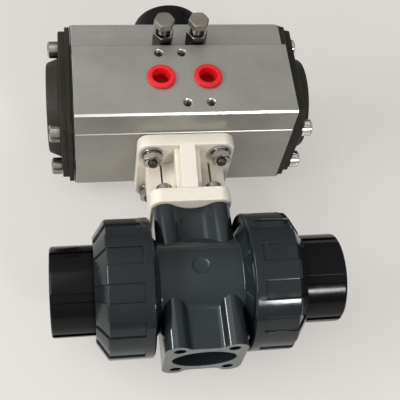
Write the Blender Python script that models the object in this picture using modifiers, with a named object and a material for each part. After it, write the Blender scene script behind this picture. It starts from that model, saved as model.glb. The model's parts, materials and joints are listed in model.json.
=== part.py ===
# Quarter-turn union ball valve with a rack-and-pinion air actuator, lying on its back.
# The valve's own frame has X along the pipe, Z up the stem and -Y towards the air ports.
# One empty lays that frame down, so the ports face up and the stem runs along world +Y.

import bmesh
import bpy
from math import asin, atan2, cos, pi, radians, sin, sqrt, tan
from mathutils import Matrix, Vector

# Clearances
GAP = 0.0003
FLAT_GAP = 0.0002

# Pipe line and ball
PIPE_RADIUS = 0.0160
SOCKET_DEPTH = 0.0220
FLOW_RADIUS = 0.0125
BALL_RADIUS = 0.0190
LINE_HALF_LENGTH = 0.0705
SEAT_SETBACK = 0.0015
SEAT_BACK_RISE = 0.0005
SEAT_RING_SECTION = 0.00085
FACE_RING_SECTION = 0.0012
FACE_RING_LAND = 0.0033
FACE_RING_GROOVE = 0.0024
BODY_END_LENGTH = 0.0145
BODY_WALL = 0.0026
FLARE_LENGTH = 0.0037
THREAD_WALL = 0.0028
THREAD_LENGTH = 0.0105
CARRIER_WALL = 0.0021
BALL_CLEARANCE = 0.0006
CARRIER_INNER_END = 0.0120

# Union ends
SOCKET_WALL = 0.0060
COLLAR_SETBACK = 0.0018
COLLAR_WIDTH = 0.0057
CONNECTOR_GROOVES = 6
CONNECTOR_GROOVE_WIDTH = 0.0045
CONNECTOR_GROOVE_DEPTH = 0.0008
CONNECTOR_PHASES = {"left": radians(-2.1), "right": radians(-3.9)}
NUT_WALL = 0.0046
NUT_THREAD_LENGTH = 0.0114
NUT_CHAMFER_LENGTH = 0.0056
NUT_END_LENGTH = 0.0097
NUT_END_WALL = 0.0034
NUT_RING_WIDTH = 0.0050
NUT_LANDS = 12
NUT_RECESS_SPAN = radians(15.0)
NUT_RECESS_DEPTH = 0.0008
NUT_PHASES = {"left": radians(10.4), "right": radians(7.9)}

# Valve necks
NECK_LENGTH = 0.0124
FOOT_WALL = 0.0057
NECK_HALF_X = 0.0194
NECK_HALF_Y = 0.0182
NECK_CORNER_RADIUS = 0.0058
TOP_NECK_DIP = 0.0055
FOOT_DIP = 0.0036
FOOT_HOLLOW_HALF_X = 0.0154
FOOT_HOLLOW_HALF_Y = 0.0104
FOOT_HOLLOW_DEPTH = 0.0130
VALVE_SCREW_PITCH = 0.02546
VALVE_SCREW_RADIUS = 0.0025
VALVE_SCREW_ENGAGEMENT = 0.0100
VALVE_SCREW_HEAD_RADIUS = 0.00425
VALVE_SCREW_HEAD_HEIGHT = 0.0048
FOOT_SCREW_DEPTH = 0.0090
GATE_MARK_RADIUS = 0.0040
GATE_MARK_DEPTH = 0.0005

# Stem and coupling
STEM_RADIUS = 0.0075
STEM_COLLAR_RADIUS = 0.0092
STEM_COLLAR_HEIGHT = 0.0030
STEM_TONGUE_WIDTH = 0.0074
STEM_TONGUE_LENGTH = 0.0140
STEM_TONGUE_DEPTH = 0.0045
STEM_SQUARE = 0.0090
STEM_SQUARE_LENGTH = 0.0138
THRUST_WASHER_HEIGHT = 0.0012
STEM_RING_SECTION = 0.0011
STEM_RING_RISES = (0.0024, 0.0074)
COUPLING_WALL = 0.0031
DRIVE_SQUARE = 0.0110
DRIVE_SQUARE_DEPTH = 0.0095

# Mounting bracket
LOWER_PLATE_HALF_X = 0.0205
LOWER_PLATE_HALF_Y = 0.0200
LOWER_PLATE_THICKNESS = 0.0080
UPPER_PLATE_HALF = 0.0250
UPPER_PLATE_THICKNESS = 0.0070
BRACKET_HEIGHT = 0.0368
PLATE_CORNER_RADIUS = 0.0060
SLEEVE_WALL = 0.0033
SIDE_WALL_INNER = 0.0131
SIDE_WALL_OUTER = 0.0200
SIDE_WALL_HALF_Y = 0.0078
SIDE_WALL_SLIT = 0.0009
RIB_WIDTH = 0.0080
RIB_STEP_WIDTH = 0.0130
RIB_TOP_REACH = 0.0248
RIB_BASE_REACH = 0.0192
RIB_STEP = 0.0035
BRACKET_SCREW_PITCH = 0.03536
BRACKET_SCREW_RADIUS = 0.0030
BRACKET_SCREW_ENGAGEMENT = 0.0090
BRACKET_FLANGE_RADIUS = 0.0062
BRACKET_FLANGE_THICKNESS = 0.0016
BRACKET_HEAD_RADIUS = 0.0050
BRACKET_HEAD_HEIGHT = 0.0054

# Actuator body
BODY_LENGTH = 0.1128
BORE_RADIUS = 0.0260
BORE_END_WALL = 0.0096
BORE_SIDE_WALL = 0.0082
BODY_CHAMFER = 0.0075
BODY_BACK_CHAMFER = 0.0127
BODY_FOOT_SETBACK = 0.0090
PAD_RISE = 0.0063
PAD_BOTTOM_RISE = 0.0010
PAD_HEIGHT = 0.0442
PORT_SPACING = 0.0240
PORT_RADIUS = 0.0058
PORT_DEPTH = 0.0110
PORT_HEIGHT = 0.0234
PORT_PASSAGE_RADIUS = 0.0020
VALVE_FACE_PITCH_X = 0.0120
VALVE_FACE_PITCH_Z = 0.0320
TAPPED_HOLE_RADIUS = 0.0022
TAPPED_HOLE_DEPTH = 0.0080
TOP_HOLE_PITCH_X = 0.0800
TOP_HOLE_PITCH_Y = 0.0300

# End caps
CAP_THICKNESS = 0.0068
CAP_FLANGE_THICKNESS = 0.0034
CAP_FLANGE_INSET = 0.0008
CAP_FACE_INSET = 0.0024
GASKET_THICKNESS = 0.0006
DOME_LAND = 0.0008
DOME_TAPER = 0.0030
DOME_HEIGHT = 0.0063
CAP_HOLLOW_SETBACK = 0.0035
CAP_HOLLOW_DEPTH = 0.0075
CAP_SCREW_PITCH_Y = 0.0310
CAP_SCREW_EDGE = 0.00785
CAP_SCREW_RADIUS = 0.0025
CAP_SCREW_ENGAGEMENT = 0.0110
CAP_SCREW_HEAD_RADIUS = 0.0046
CAP_SCREW_HEAD_HEIGHT = 0.0050

# Rack and pinion
PINION_TEETH = 12
PITCH_RADIUS = 0.0080
PRESSURE_ANGLE = radians(25.0)
ADDENDUM_RATIO = 0.85
DEDENDUM_RATIO = 1.15
BACKLASH = 0.0003
GEAR_WIDTH = 0.0190
RACK_WIDTH = 0.0180
PISTON_HEAD_THICKNESS = 0.0150
PISTON_INNER_FACE = 0.0200
RACK_TIP_CLEARANCE = 0.0015
PISTON_RING_SECTION = 0.0013
PISTON_RING_POSITION = 0.0105
GUIDE_WIDTH = 0.0040
GUIDE_POSITION = 0.0045
GUIDE_THICKNESS = 0.0015
PINION_TOP_RADIUS = 0.0056
PINION_FOOT_RADIUS = 0.0100
PINION_NECK_RADIUS = 0.0062
PINION_FOOT_HEIGHT = 0.0140
PINION_TOP_RISE = 0.0180
BUSH_WALL = 0.0022
CAM_HEIGHT = 0.0076
CAM_RADIUS = 0.0130
CAM_HUB_RADIUS = 0.0076
CAM_STOP_OFFSET = 0.0050
CAM_SEAT_INRADIUS = 0.0059
CIRCLIP_THICKNESS = 0.0012
CIRCLIP_GROOVE_DEPTH = 0.0008
CIRCLIP_OPENING = radians(50.0)
CIRCLIP_WIDTH = 0.0026

# Travel stops
STOP_RISE = 0.0151
STOP_SPACING = 0.0178
STOP_SCREW_RADIUS = 0.0030
STOP_HEAD_STANDOFF = 0.0193
STOP_HEAD_HEIGHT = 0.0040
HEX_ACROSS_FLATS = 0.0100
STOP_NUT_HEIGHT = 0.0100

# Indicator and plugs
INDICATOR_RADIUS = 0.0206
INDICATOR_HEIGHT = 0.0215
INDICATOR_RIM_RADIUS = 0.0198
INDICATOR_BAR_WIDTH = 0.0080
INDICATOR_BAR_REACH = 0.0165
INDICATOR_BAR_HEIGHT = 0.0016
INDICATOR_SCREW_RADIUS = 0.0020
INDICATOR_SCREW_HEAD_RADIUS = 0.0036
INDICATOR_SCREW_HEAD_HEIGHT = 0.0020
INDICATOR_SCREW_ENGAGEMENT = 0.0080
PLUG_FLANGE_RADIUS = 0.0073
PLUG_FLANGE_HEIGHT = 0.0016
PLUG_LENGTH = 0.0085
PLUG_CUP_RADIUS = 0.0046

# Sizes, levels and places that follow from the sizes above
SEAT_OUTER_RADIUS = BALL_RADIUS - SEAT_SETBACK
SEAT_BACK = BALL_RADIUS + SEAT_BACK_RISE
CARRIER_RADIUS = SEAT_OUTER_RADIUS + GAP + CARRIER_WALL
BARREL_RADIUS = CARRIER_RADIUS + GAP + BODY_WALL
FACE_RING_RADIUS = CARRIER_RADIUS + 2 * GAP + FACE_RING_SECTION + FACE_RING_LAND
THREAD_RADIUS = FACE_RING_RADIUS + FACE_RING_SECTION + GAP + THREAD_WALL
COLLAR_RADIUS = THREAD_RADIUS - COLLAR_SETBACK
CONNECTOR_RADIUS = PIPE_RADIUS + SOCKET_WALL
NUT_RADIUS = THREAD_RADIUS + GAP + NUT_WALL
NUT_END_RADIUS = CONNECTOR_RADIUS + GAP + NUT_END_WALL
BODY_HALF_LENGTH = SEAT_BACK + BODY_END_LENGTH
THREAD_START = BODY_HALF_LENGTH - THREAD_LENGTH
FLARE_START = THREAD_START - FLARE_LENGTH
NUT_INNER_END = BODY_HALF_LENGTH - NUT_THREAD_LENGTH
NUT_OUTER_END = BODY_HALF_LENGTH + 2 * GAP + COLLAR_WIDTH + NUT_END_LENGTH
NUT_CHAMFER_START = NUT_OUTER_END - NUT_CHAMFER_LENGTH
COUPLING_RADIUS = STEM_SQUARE / 2 + COUPLING_WALL
SLEEVE_RADIUS = COUPLING_RADIUS + 2 * GAP + SLEEVE_WALL
BODY_HEIGHT = 2 * (BORE_RADIUS + BORE_END_WALL)
BODY_HALF_DEPTH = BORE_RADIUS + BORE_SIDE_WALL
PAD_FACE = BODY_HALF_DEPTH + PAD_RISE
DOME_RADIUS = BORE_RADIUS + DOME_LAND
DOME_TOP_RADIUS = DOME_RADIUS - DOME_TAPER
CAP_HOLLOW_RADIUS = BORE_RADIUS - CAP_HOLLOW_SETBACK
CAP_SCREW_PITCH_Z = BODY_HEIGHT - 2 * CAP_SCREW_EDGE
PISTON_RADIUS = BORE_RADIUS - GAP
STOP_HEAD_TOP = BODY_HALF_DEPTH + STOP_HEAD_STANDOFF
SEAT_RING_GROOVE = 2 * SEAT_RING_SECTION + FLAT_GAP
SEAT_RING_RADIUS = SEAT_OUTER_RADIUS - SEAT_RING_SECTION
SEAT_RING_INNER = SEAT_RING_RADIUS - SEAT_RING_SECTION - GAP
SLOT_FLOOR = BALL_RADIUS - STEM_TONGUE_DEPTH - GAP
COLLAR_BASE = BALL_RADIUS + GAP
COLLAR_TOP = COLLAR_BASE + STEM_COLLAR_HEIGHT
WASHER_TOP = COLLAR_TOP + GAP + THRUST_WASHER_HEIGHT
STEM_RING_HEIGHTS = [WASHER_TOP + rise for rise in STEM_RING_RISES]
NECK_TOP = WASHER_TOP + NECK_LENGTH
FOOT_BASE = -(BALL_RADIUS + BALL_CLEARANCE + FOOT_WALL + FOOT_HOLLOW_DEPTH)
STEM_SQUARE_TOP = NECK_TOP + STEM_SQUARE_LENGTH
LOWER_PLATE_BASE = NECK_TOP + GAP
UPPER_PLATE_TOP = LOWER_PLATE_BASE + BRACKET_HEIGHT
UPPER_PLATE_BASE = UPPER_PLATE_TOP - UPPER_PLATE_THICKNESS
BODY_BASE = UPPER_PLATE_TOP + GAP
BODY_TOP = BODY_BASE + BODY_HEIGHT
BORE_LEVEL = BODY_BASE + BODY_HEIGHT / 2
PORT_LEVEL = BODY_BASE + PORT_HEIGHT
STOP_LEVEL = BORE_LEVEL + STOP_RISE
INDICATOR_TOP = BODY_TOP + GAP + CIRCLIP_THICKNESS + GAP + INDICATOR_HEIGHT
MODULE = 2 * PITCH_RADIUS / PINION_TEETH
TOOTH_PITCH = pi * MODULE
CAP_FACE = BODY_LENGTH / 2 + 2 * FLAT_GAP + GASKET_THICKNESS
LYING_MIDDLE = (FOOT_BASE + INDICATOR_TOP) / 2
LYING_DEPTH = max(NUT_RADIUS, BODY_HALF_DEPTH)
RIGHT = 1
LEFT = -1
OFF_STEP = radians(2.3)
ALONG_X = (pi / 2, 0.0, pi / 2)
AGAINST_X = (pi / 2, 0.0, -pi / 2)

for stale in list(bpy.data.objects):
    bpy.data.objects.remove(stale, do_unlink=True)

scene = bpy.context.scene
parts = bpy.data.collections.new("actuated_ball_valve")
cutters = bpy.data.collections.new("cutters")
scene.collection.children.link(parts)
scene.collection.children.link(cutters)


def empty(name, parent=None, location=(0, 0, 0), rotation=(0, 0, 0)):
    holder = bpy.data.objects.new(name, None)
    holder.parent = parent
    holder.location = location
    holder.rotation_euler = rotation
    parts.objects.link(holder)
    return holder


frame = empty("valve_frame", location=(0, -LYING_MIDDLE, LYING_DEPTH), rotation=(-pi / 2, 0, 0))
pipe_axis = empty("pipe_axis", frame)
stem_axis = empty("stem_axis", frame)
bore_axis = empty("bore_axis", frame, location=(0, 0, BORE_LEVEL))


def material(name, colour, roughness, metallic):
    finish = bpy.data.materials.new(name)
    finish.use_nodes = True
    shader = finish.node_tree.nodes["Principled BSDF"]
    shader.inputs["Base Color"].default_value = (*colour, 1.0)
    shader.inputs["Roughness"].default_value = roughness
    shader.inputs["Metallic"].default_value = metallic
    return finish


SLATE_PLASTIC = material("slate_plastic", (0.045, 0.055, 0.060), 0.30, 0.0)
BLACK_PLASTIC = material("black_plastic", (0.012, 0.012, 0.013), 0.25, 0.0)
CREAM_PLASTIC = material("cream_plastic", (0.78, 0.73, 0.62), 0.45, 0.0)
SEAT_PLASTIC = material("seat_plastic", (0.80, 0.80, 0.78), 0.40, 0.0)
RUBBER = material("rubber", (0.015, 0.015, 0.015), 0.70, 0.0)
RED_PLASTIC = material("red_plastic", (0.62, 0.03, 0.04), 0.35, 0.0)
ANODISED = material("anodised_aluminium", (0.42, 0.41, 0.38), 0.45, 0.9)
DARK_CAST = material("dark_cast_aluminium", (0.045, 0.043, 0.036), 0.45, 0.5)
STEEL = material("stainless_steel", (0.55, 0.54, 0.51), 0.28, 1.0)
GEAR_STEEL = material("gear_steel", (0.30, 0.30, 0.29), 0.35, 1.0)


# Shared modelling helpers


def place(name, mesh, finish=None, location=(0, 0, 0), rotation=(0, 0, 0), parent=frame):
    """Adds a finished mesh as one part."""
    part = bpy.data.objects.new(name, mesh)
    part.parent = parent
    part.location = location
    part.rotation_euler = rotation
    if finish is not None and not mesh.materials:
        mesh.materials.append(finish)
    parts.objects.link(part)
    return part


def as_cutter(part):
    """Keeps a shape only as a tool for a Boolean."""
    parts.objects.unlink(part)
    cutters.objects.link(part)
    part.hide_render = True
    part.display_type = "WIRE"
    return part


def boolean(target, tool, operation="DIFFERENCE"):
    step = target.modifiers.new(tool.name, "BOOLEAN")
    step.operation = operation
    step.object = as_cutter(tool)
    return target


def mesh_from(name, bm):
    bmesh.ops.recalc_face_normals(bm, faces=bm.faces)
    mesh = bpy.data.meshes.new(name)
    bm.to_mesh(mesh)
    bm.free()
    return mesh


def baked_mesh(part):
    """Applies a part's modifiers, takes its mesh and removes the part."""
    bpy.context.view_layer.update()
    graph = bpy.context.evaluated_depsgraph_get()
    mesh = bpy.data.meshes.new_from_object(part.evaluated_get(graph))
    bpy.data.objects.remove(part, do_unlink=True)
    return mesh


def smooth(part, angle=35.0):
    mesh = part.data
    mesh.shade_smooth()
    mesh.set_sharp_from_angle(angle=radians(angle))
    return part


def turned(name, profile, steps, finish=None, start=0.0, **where):
    """Turns a profile of (radius, height) about its own Z. It runs down the outer side."""
    count = len(profile)
    closed = min(radius for radius, height in profile) > 0
    edges = [(i, (i + 1) % count) for i in range(count if closed else count - 1)]
    mesh = bpy.data.meshes.new(name)
    corners = [(radius * cos(start), radius * sin(start), height) for radius, height in profile]
    mesh.from_pydata(corners, edges, [])
    part = place(name, mesh, finish, **where)
    screw = part.modifiers.new("turn", "SCREW")
    screw.axis = "Z"
    screw.angle = 2 * pi
    screw.steps = steps
    screw.render_steps = steps
    screw.use_merge_vertices = True
    screw.merge_threshold = 0.00001
    screw.use_smooth_shade = True
    return part


def ring_profile(outer, inner, top, base):
    return [(outer, top), (outer, base), (inner, base), (inner, top)]


def seal_ring(name, radius, section, steps=20, start=0.0, sides=4, **where):
    """A rubber ring of round section about its own Z."""
    profile = []
    for i in range(sides):
        turn = -i * 2 * pi / sides
        profile.append((radius + section * cos(turn), section * sin(turn)))
    return turned(name, profile, steps, RUBBER, start, **where)


def along_pipe(side):
    """Turns a part's own Z to the pipe's right or left end."""
    return (0.0, side * pi / 2, 0.0)


def extruded_mesh(name, outlines, thickness):
    """A flat outline with its holes, from z = 0 up to its thickness."""
    curve = bpy.data.curves.new(name, "CURVE")
    curve.dimensions = "2D"
    curve.fill_mode = "BOTH"
    curve.extrude = thickness / 2
    for outline in outlines:
        spline = curve.splines.new("POLY")
        spline.points.add(len(outline) - 1)
        spline.use_cyclic_u = True
        for point, (x, y) in zip(spline.points, outline):
            point.co = (x, y, 0.0, 1.0)
    holder = bpy.data.objects.new(name, curve)
    parts.objects.link(holder)
    mesh = baked_mesh(holder)
    bpy.data.curves.remove(curve)
    bm = bmesh.new()
    bm.from_mesh(mesh)
    bpy.data.meshes.remove(mesh)
    bmesh.ops.remove_doubles(bm, verts=bm.verts, dist=0.000002)
    bmesh.ops.translate(bm, verts=bm.verts, vec=(0, 0, thickness / 2))
    return mesh_from(name, bm)


def extruded(name, outlines, thickness, finish=None, **where):
    return place(name, extruded_mesh(name, outlines, thickness), finish, **where)


def circle(radius, steps, centre=(0.0, 0.0)):
    turns = [2 * pi * i / steps for i in range(steps)]
    return [(centre[0] + radius * cos(turn), centre[1] + radius * sin(turn)) for turn in turns]


def hexagon(across_flats):
    return circle(across_flats / sqrt(3), 6)


def arc(centre, radius, start, end, steps):
    turns = [start + (end - start) * i / steps for i in range(steps + 1)]
    return [(centre[0] + radius * cos(turn), centre[1] + radius * sin(turn)) for turn in turns]


def rounded_rectangle(half_x, half_y, radius, steps=3):
    outline = []
    for quarter, (sx, sy) in enumerate(((1, 1), (-1, 1), (-1, -1), (1, -1))):
        centre = (sx * (half_x - radius), sy * (half_y - radius))
        start = quarter * pi / 2
        outline += arc(centre, radius, start, start + pi / 2, steps)
    return outline


def square_corners(pitch_x, pitch_y):
    return [(sx * pitch_x / 2, sy * pitch_y / 2) for sx in (-1, 1) for sy in (-1, 1)]


def drill(name, holes, steps=12):
    """One cutter of round holes, each an entry point, a direction inward, a radius and a depth."""
    bm = bmesh.new()
    for entry, direction, radius, depth in holes:
        inward = Vector(direction)
        start = Vector(entry) - inward * GAP
        turn = inward.to_track_quat("Z", "Y").to_matrix().to_4x4()
        middle = Matrix.Translation(start + inward * (depth + GAP) / 2)
        bmesh.ops.create_cone(
            bm,
            cap_ends=True,
            segments=steps,
            radius1=radius,
            radius2=radius,
            depth=depth + GAP,
            matrix=middle @ turn,
        )
    return place(name, mesh_from(name, bm))


def block(name, low, high, finish=None, **where):
    bm = bmesh.new()
    size = Vector(high) - Vector(low)
    centre = (Vector(high) + Vector(low)) / 2
    grow = Matrix.Diagonal((*size, 1.0))
    bmesh.ops.create_cube(bm, size=1.0, matrix=Matrix.Translation(centre) @ grow)
    return place(name, mesh_from(name, bm), finish, **where)


# Valve body


def neck_outline(dip):
    """A square with round corner lobes whose front and back sides dip in between them."""
    half_span = NECK_HALF_X - NECK_CORNER_RADIUS
    dip_steps = 6
    outline = []
    for quarter, (sx, sy) in enumerate(((1, 1), (-1, 1), (-1, -1), (1, -1))):
        centre = (sx * half_span, sy * (NECK_HALF_Y - NECK_CORNER_RADIUS))
        start = quarter * pi / 2
        outline += arc(centre, NECK_CORNER_RADIUS, start, start + pi / 2, 3)
        if quarter % 2 == 0:
            for i in range(1, dip_steps):
                across = half_span * (1 - 2 * i / dip_steps)
                depth = dip * cos(pi * across / (2 * half_span)) ** 2
                outline.append((sx * across, sy * (NECK_HALF_Y - depth)))
    return outline


def chamber_profile():
    """The cavity along the pipe: carrier bore, ball chamber, left seat pocket and flow bore."""
    past_end = BODY_HALF_LENGTH + 0.001
    seat_pocket = SEAT_OUTER_RADIUS + GAP
    seat_shoulder = SEAT_BACK + GAP
    return [
        (0.0, past_end),
        (CARRIER_RADIUS + GAP, past_end),
        (CARRIER_RADIUS + GAP, CARRIER_INNER_END),
        (BALL_RADIUS + BALL_CLEARANCE, CARRIER_INNER_END),
        (BALL_RADIUS + BALL_CLEARANCE, -CARRIER_INNER_END),
        (seat_pocket, -CARRIER_INNER_END),
        (seat_pocket, -seat_shoulder - SEAT_RING_GROOVE),
        (SEAT_RING_INNER, -seat_shoulder - SEAT_RING_GROOVE),
        (SEAT_RING_INNER, -seat_shoulder),
        (FLOW_RADIUS + GAP, -seat_shoulder),
        (FLOW_RADIUS + GAP, -past_end),
        (0.0, -past_end),
    ]


def build_valve_body():
    barrel = [
        (0.0, BODY_HALF_LENGTH),
        (THREAD_RADIUS, BODY_HALF_LENGTH),
        (THREAD_RADIUS, THREAD_START),
        (THREAD_RADIUS - 0.001, THREAD_START),
        (BARREL_RADIUS, FLARE_START),
        (BARREL_RADIUS, -FLARE_START),
        (THREAD_RADIUS - 0.001, -THREAD_START),
        (THREAD_RADIUS, -THREAD_START),
        (THREAD_RADIUS, -BODY_HALF_LENGTH),
        (0.0, -BODY_HALF_LENGTH),
    ]
    body = turned("valve_body", barrel, 40, SLATE_PLASTIC, rotation=along_pipe(RIGHT))
    boolean(body, extruded("top_neck", [neck_outline(TOP_NECK_DIP)], NECK_TOP), "UNION")
    foot = extruded("foot_neck", [neck_outline(FOOT_DIP)], -FOOT_BASE, location=(0, 0, FOOT_BASE))
    boolean(body, foot, "UNION")
    turn = along_pipe(RIGHT)
    boolean(body, turned("ball_chamber", chamber_profile(), 24, start=OFF_STEP, rotation=turn))
    stem_bore = [
        (0.0, NECK_TOP + 0.001),
        (STEM_RADIUS + GAP, NECK_TOP + 0.001),
        (STEM_RADIUS + GAP, WASHER_TOP + GAP),
        (STEM_COLLAR_RADIUS + GAP, WASHER_TOP + GAP),
        (STEM_COLLAR_RADIUS + GAP, FLOW_RADIUS),
        (0.0, FLOW_RADIUS),
    ]
    boolean(body, turned("stem_bore", stem_bore, 16))
    hollow = [(FOOT_HOLLOW_HALF_X * cos(t), FOOT_HOLLOW_HALF_Y * sin(t))
              for t in (2 * pi * i / 20 for i in range(20))]
    low = (0, 0, FOOT_BASE - 0.001)
    boolean(body, extruded("foot_hollow", [hollow], FOOT_HOLLOW_DEPTH + 0.001, location=low))
    holes = []
    for x, y in square_corners(VALVE_SCREW_PITCH, VALVE_SCREW_PITCH):
        holes.append(((x, y, NECK_TOP), (0, 0, -1), VALVE_SCREW_RADIUS + GAP, VALVE_SCREW_ENGAGEMENT + GAP))
        holes.append(((x, y, FOOT_BASE), (0, 0, 1), VALVE_SCREW_RADIUS + GAP, FOOT_SCREW_DEPTH))
    front = -BARREL_RADIUS
    holes.append(((0, front, 0), (0, 1, 0), GATE_MARK_RADIUS, GATE_MARK_DEPTH))
    boolean(body, drill("neck_holes", holes, 8))
    for side in (RIGHT, LEFT):
        groove = ring_profile(
            FACE_RING_RADIUS + FACE_RING_SECTION + GAP,
            FACE_RING_RADIUS - FACE_RING_SECTION - GAP,
            BODY_HALF_LENGTH + 0.001,
            BODY_HALF_LENGTH - FACE_RING_GROOVE,
        )
        boolean(body, turned("face_groove", groove, 20, start=OFF_STEP, rotation=along_pipe(side)))


def build_ball_and_seats():
    bm = bmesh.new()
    bmesh.ops.create_uvsphere(bm, u_segments=20, v_segments=10, radius=BALL_RADIUS)
    ball = place("ball", mesh_from("ball", bm), SLATE_PLASTIC, parent=stem_axis)
    past = BALL_RADIUS + 0.001
    boolean(ball, drill("ball_bore", [((0, -past, 0), (0, 1, 0), FLOW_RADIUS, 2 * past)], 24))
    half_slot = STEM_TONGUE_WIDTH / 2 + GAP
    boolean(ball, block("ball_slot", (-past, -half_slot, SLOT_FLOOR), (past, half_slot, past)))
    smooth(ball)
    sphere = BALL_RADIUS + 1.5 * GAP
    lip = FLOW_RADIUS + 2 * GAP
    radii = [SEAT_OUTER_RADIUS + (lip - SEAT_OUTER_RADIUS) * i / 3 for i in range(4)]
    seat = [(SEAT_OUTER_RADIUS, SEAT_BACK)]
    seat += [(radius, sqrt(sphere**2 - radius**2)) for radius in radii]
    seat += [(lip, SEAT_BACK)]
    for side, label in ((LEFT, "left"), (RIGHT, "right")):
        turn = along_pipe(side)
        turned("ball_seat_" + label, seat, 20, SEAT_PLASTIC, rotation=turn, parent=pipe_axis)
        middle = SEAT_BACK + GAP + SEAT_RING_GROOVE / 2 - FLAT_GAP / 2
        seal_ring("seat_ring_" + label, SEAT_RING_RADIUS, SEAT_RING_SECTION,
                  location=(side * middle, 0, 0), rotation=turn, parent=pipe_axis)
        middle = BODY_HALF_LENGTH - FACE_RING_GROOVE + FLAT_GAP + FACE_RING_SECTION
        seal_ring("face_ring_" + label, FACE_RING_RADIUS, FACE_RING_SECTION, 20, start=OFF_STEP,
                  location=(side * middle, 0, 0), rotation=turn, parent=pipe_axis)


def build_seat_carrier():
    shoulder = SEAT_BACK + GAP
    carrier = [
        (CARRIER_RADIUS, BODY_HALF_LENGTH - FLAT_GAP),
        (CARRIER_RADIUS, CARRIER_INNER_END + GAP),
        (SEAT_OUTER_RADIUS + GAP, CARRIER_INNER_END + GAP),
        (SEAT_OUTER_RADIUS + GAP, shoulder + SEAT_RING_GROOVE),
        (SEAT_RING_INNER, shoulder + SEAT_RING_GROOVE),
        (SEAT_RING_INNER, shoulder),
        (FLOW_RADIUS + GAP, shoulder),
        (FLOW_RADIUS + GAP, BODY_HALF_LENGTH - FLAT_GAP),
    ]
    turned("seat_carrier", carrier, 20, SLATE_PLASTIC, rotation=along_pipe(RIGHT), parent=pipe_axis)


# Union ends


def build_end_connector(side, label):
    face = BODY_HALF_LENGTH + GAP
    collar_end = face + COLLAR_WIDTH
    socket_floor = LINE_HALF_LENGTH - SOCKET_DEPTH
    edge = 0.001
    profile = [
        (CONNECTOR_RADIUS - edge, LINE_HALF_LENGTH),
        (CONNECTOR_RADIUS, LINE_HALF_LENGTH - edge),
        (CONNECTOR_RADIUS, collar_end),
        (COLLAR_RADIUS, collar_end),
        (COLLAR_RADIUS, face),
        (FLOW_RADIUS + GAP, face),
        (FLOW_RADIUS + GAP, socket_floor),
        (PIPE_RADIUS, socket_floor),
        (PIPE_RADIUS, LINE_HALF_LENGTH - edge),
        (PIPE_RADIUS + edge, LINE_HALF_LENGTH),
    ]
    name = "end_connector_" + label
    connector = turned(name, profile, 28, BLACK_PLASTIC, rotation=along_pipe(side), parent=pipe_axis)
    bm = bmesh.new()
    reach = 0.003
    length = LINE_HALF_LENGTH - NUT_OUTER_END + reach
    for i in range(CONNECTOR_GROOVES):
        turn = Matrix.Rotation(CONNECTOR_PHASES[label] + 2 * pi * i / CONNECTOR_GROOVES, 4, "Z")
        out = CONNECTOR_RADIUS - CONNECTOR_GROOVE_DEPTH + reach / 2
        move = Matrix.Translation((out, 0, LINE_HALF_LENGTH + reach - length / 2))
        grow = Matrix.Diagonal((reach, CONNECTOR_GROOVE_WIDTH, length, 1.0))
        bmesh.ops.create_cube(bm, size=1.0, matrix=turn @ move @ grow)
    grooves = mesh_from(name + "_grooves", bm)
    boolean(connector, place(grooves.name, grooves, rotation=along_pipe(side), parent=pipe_axis))


def recess_profile():
    """A section just inside the nut's outer wall and chamfer, reaching out past them."""
    run = NUT_OUTER_END - NUT_CHAMFER_START
    fall = NUT_RADIUS - NUT_END_RADIUS
    past_end = NUT_OUTER_END + 0.001
    past_side = NUT_RADIUS + 0.002
    floor = NUT_RADIUS - NUT_RECESS_DEPTH
    start = NUT_INNER_END + NUT_RING_WIDTH
    bend = NUT_CHAMFER_START - NUT_RECESS_DEPTH * tan(atan2(fall, run) / 2)
    return [
        (floor, start),
        (floor, bend),
        (floor - (past_end - bend) * fall / run, past_end),
        (past_side, past_end),
        (past_side, start),
    ]


def build_union_nut(side, label):
    shoulder = BODY_HALF_LENGTH + GAP + COLLAR_WIDTH + GAP
    edge = 0.0008
    profile = [
        (NUT_END_RADIUS, NUT_OUTER_END),
        (NUT_RADIUS, NUT_CHAMFER_START),
        (NUT_RADIUS, NUT_INNER_END + edge),
        (NUT_RADIUS - edge, NUT_INNER_END),
        (THREAD_RADIUS + GAP, NUT_INNER_END),
        (THREAD_RADIUS + GAP, shoulder),
        (CONNECTOR_RADIUS + GAP, shoulder),
        (CONNECTOR_RADIUS + GAP, NUT_OUTER_END),
    ]
    name = "union_nut_" + label
    nut = turned(name, profile, 36, SLATE_PLASTIC, rotation=along_pipe(side), parent=pipe_axis)
    bm = bmesh.new()
    for i in range(NUT_LANDS):
        start = NUT_PHASES[label] + 2 * pi * i / NUT_LANDS - NUT_RECESS_SPAN / 2
        turn = Matrix.Rotation(start, 3, "Z")
        corners = [bm.verts.new(turn @ Vector((radius, 0, height))) for radius, height in recess_profile()]
        section = bm.faces.new(corners)
        bmesh.ops.spin(
            bm,
            geom=[section] + list(section.verts) + list(section.edges),
            axis=(0, 0, 1),
            cent=(0, 0, 0),
            angle=NUT_RECESS_SPAN,
            steps=2,
        )
    recesses = mesh_from(name + "_recesses", bm)
    boolean(nut, place(recesses.name, recesses, rotation=along_pipe(side), parent=pipe_axis))


# Stem and coupling


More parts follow.
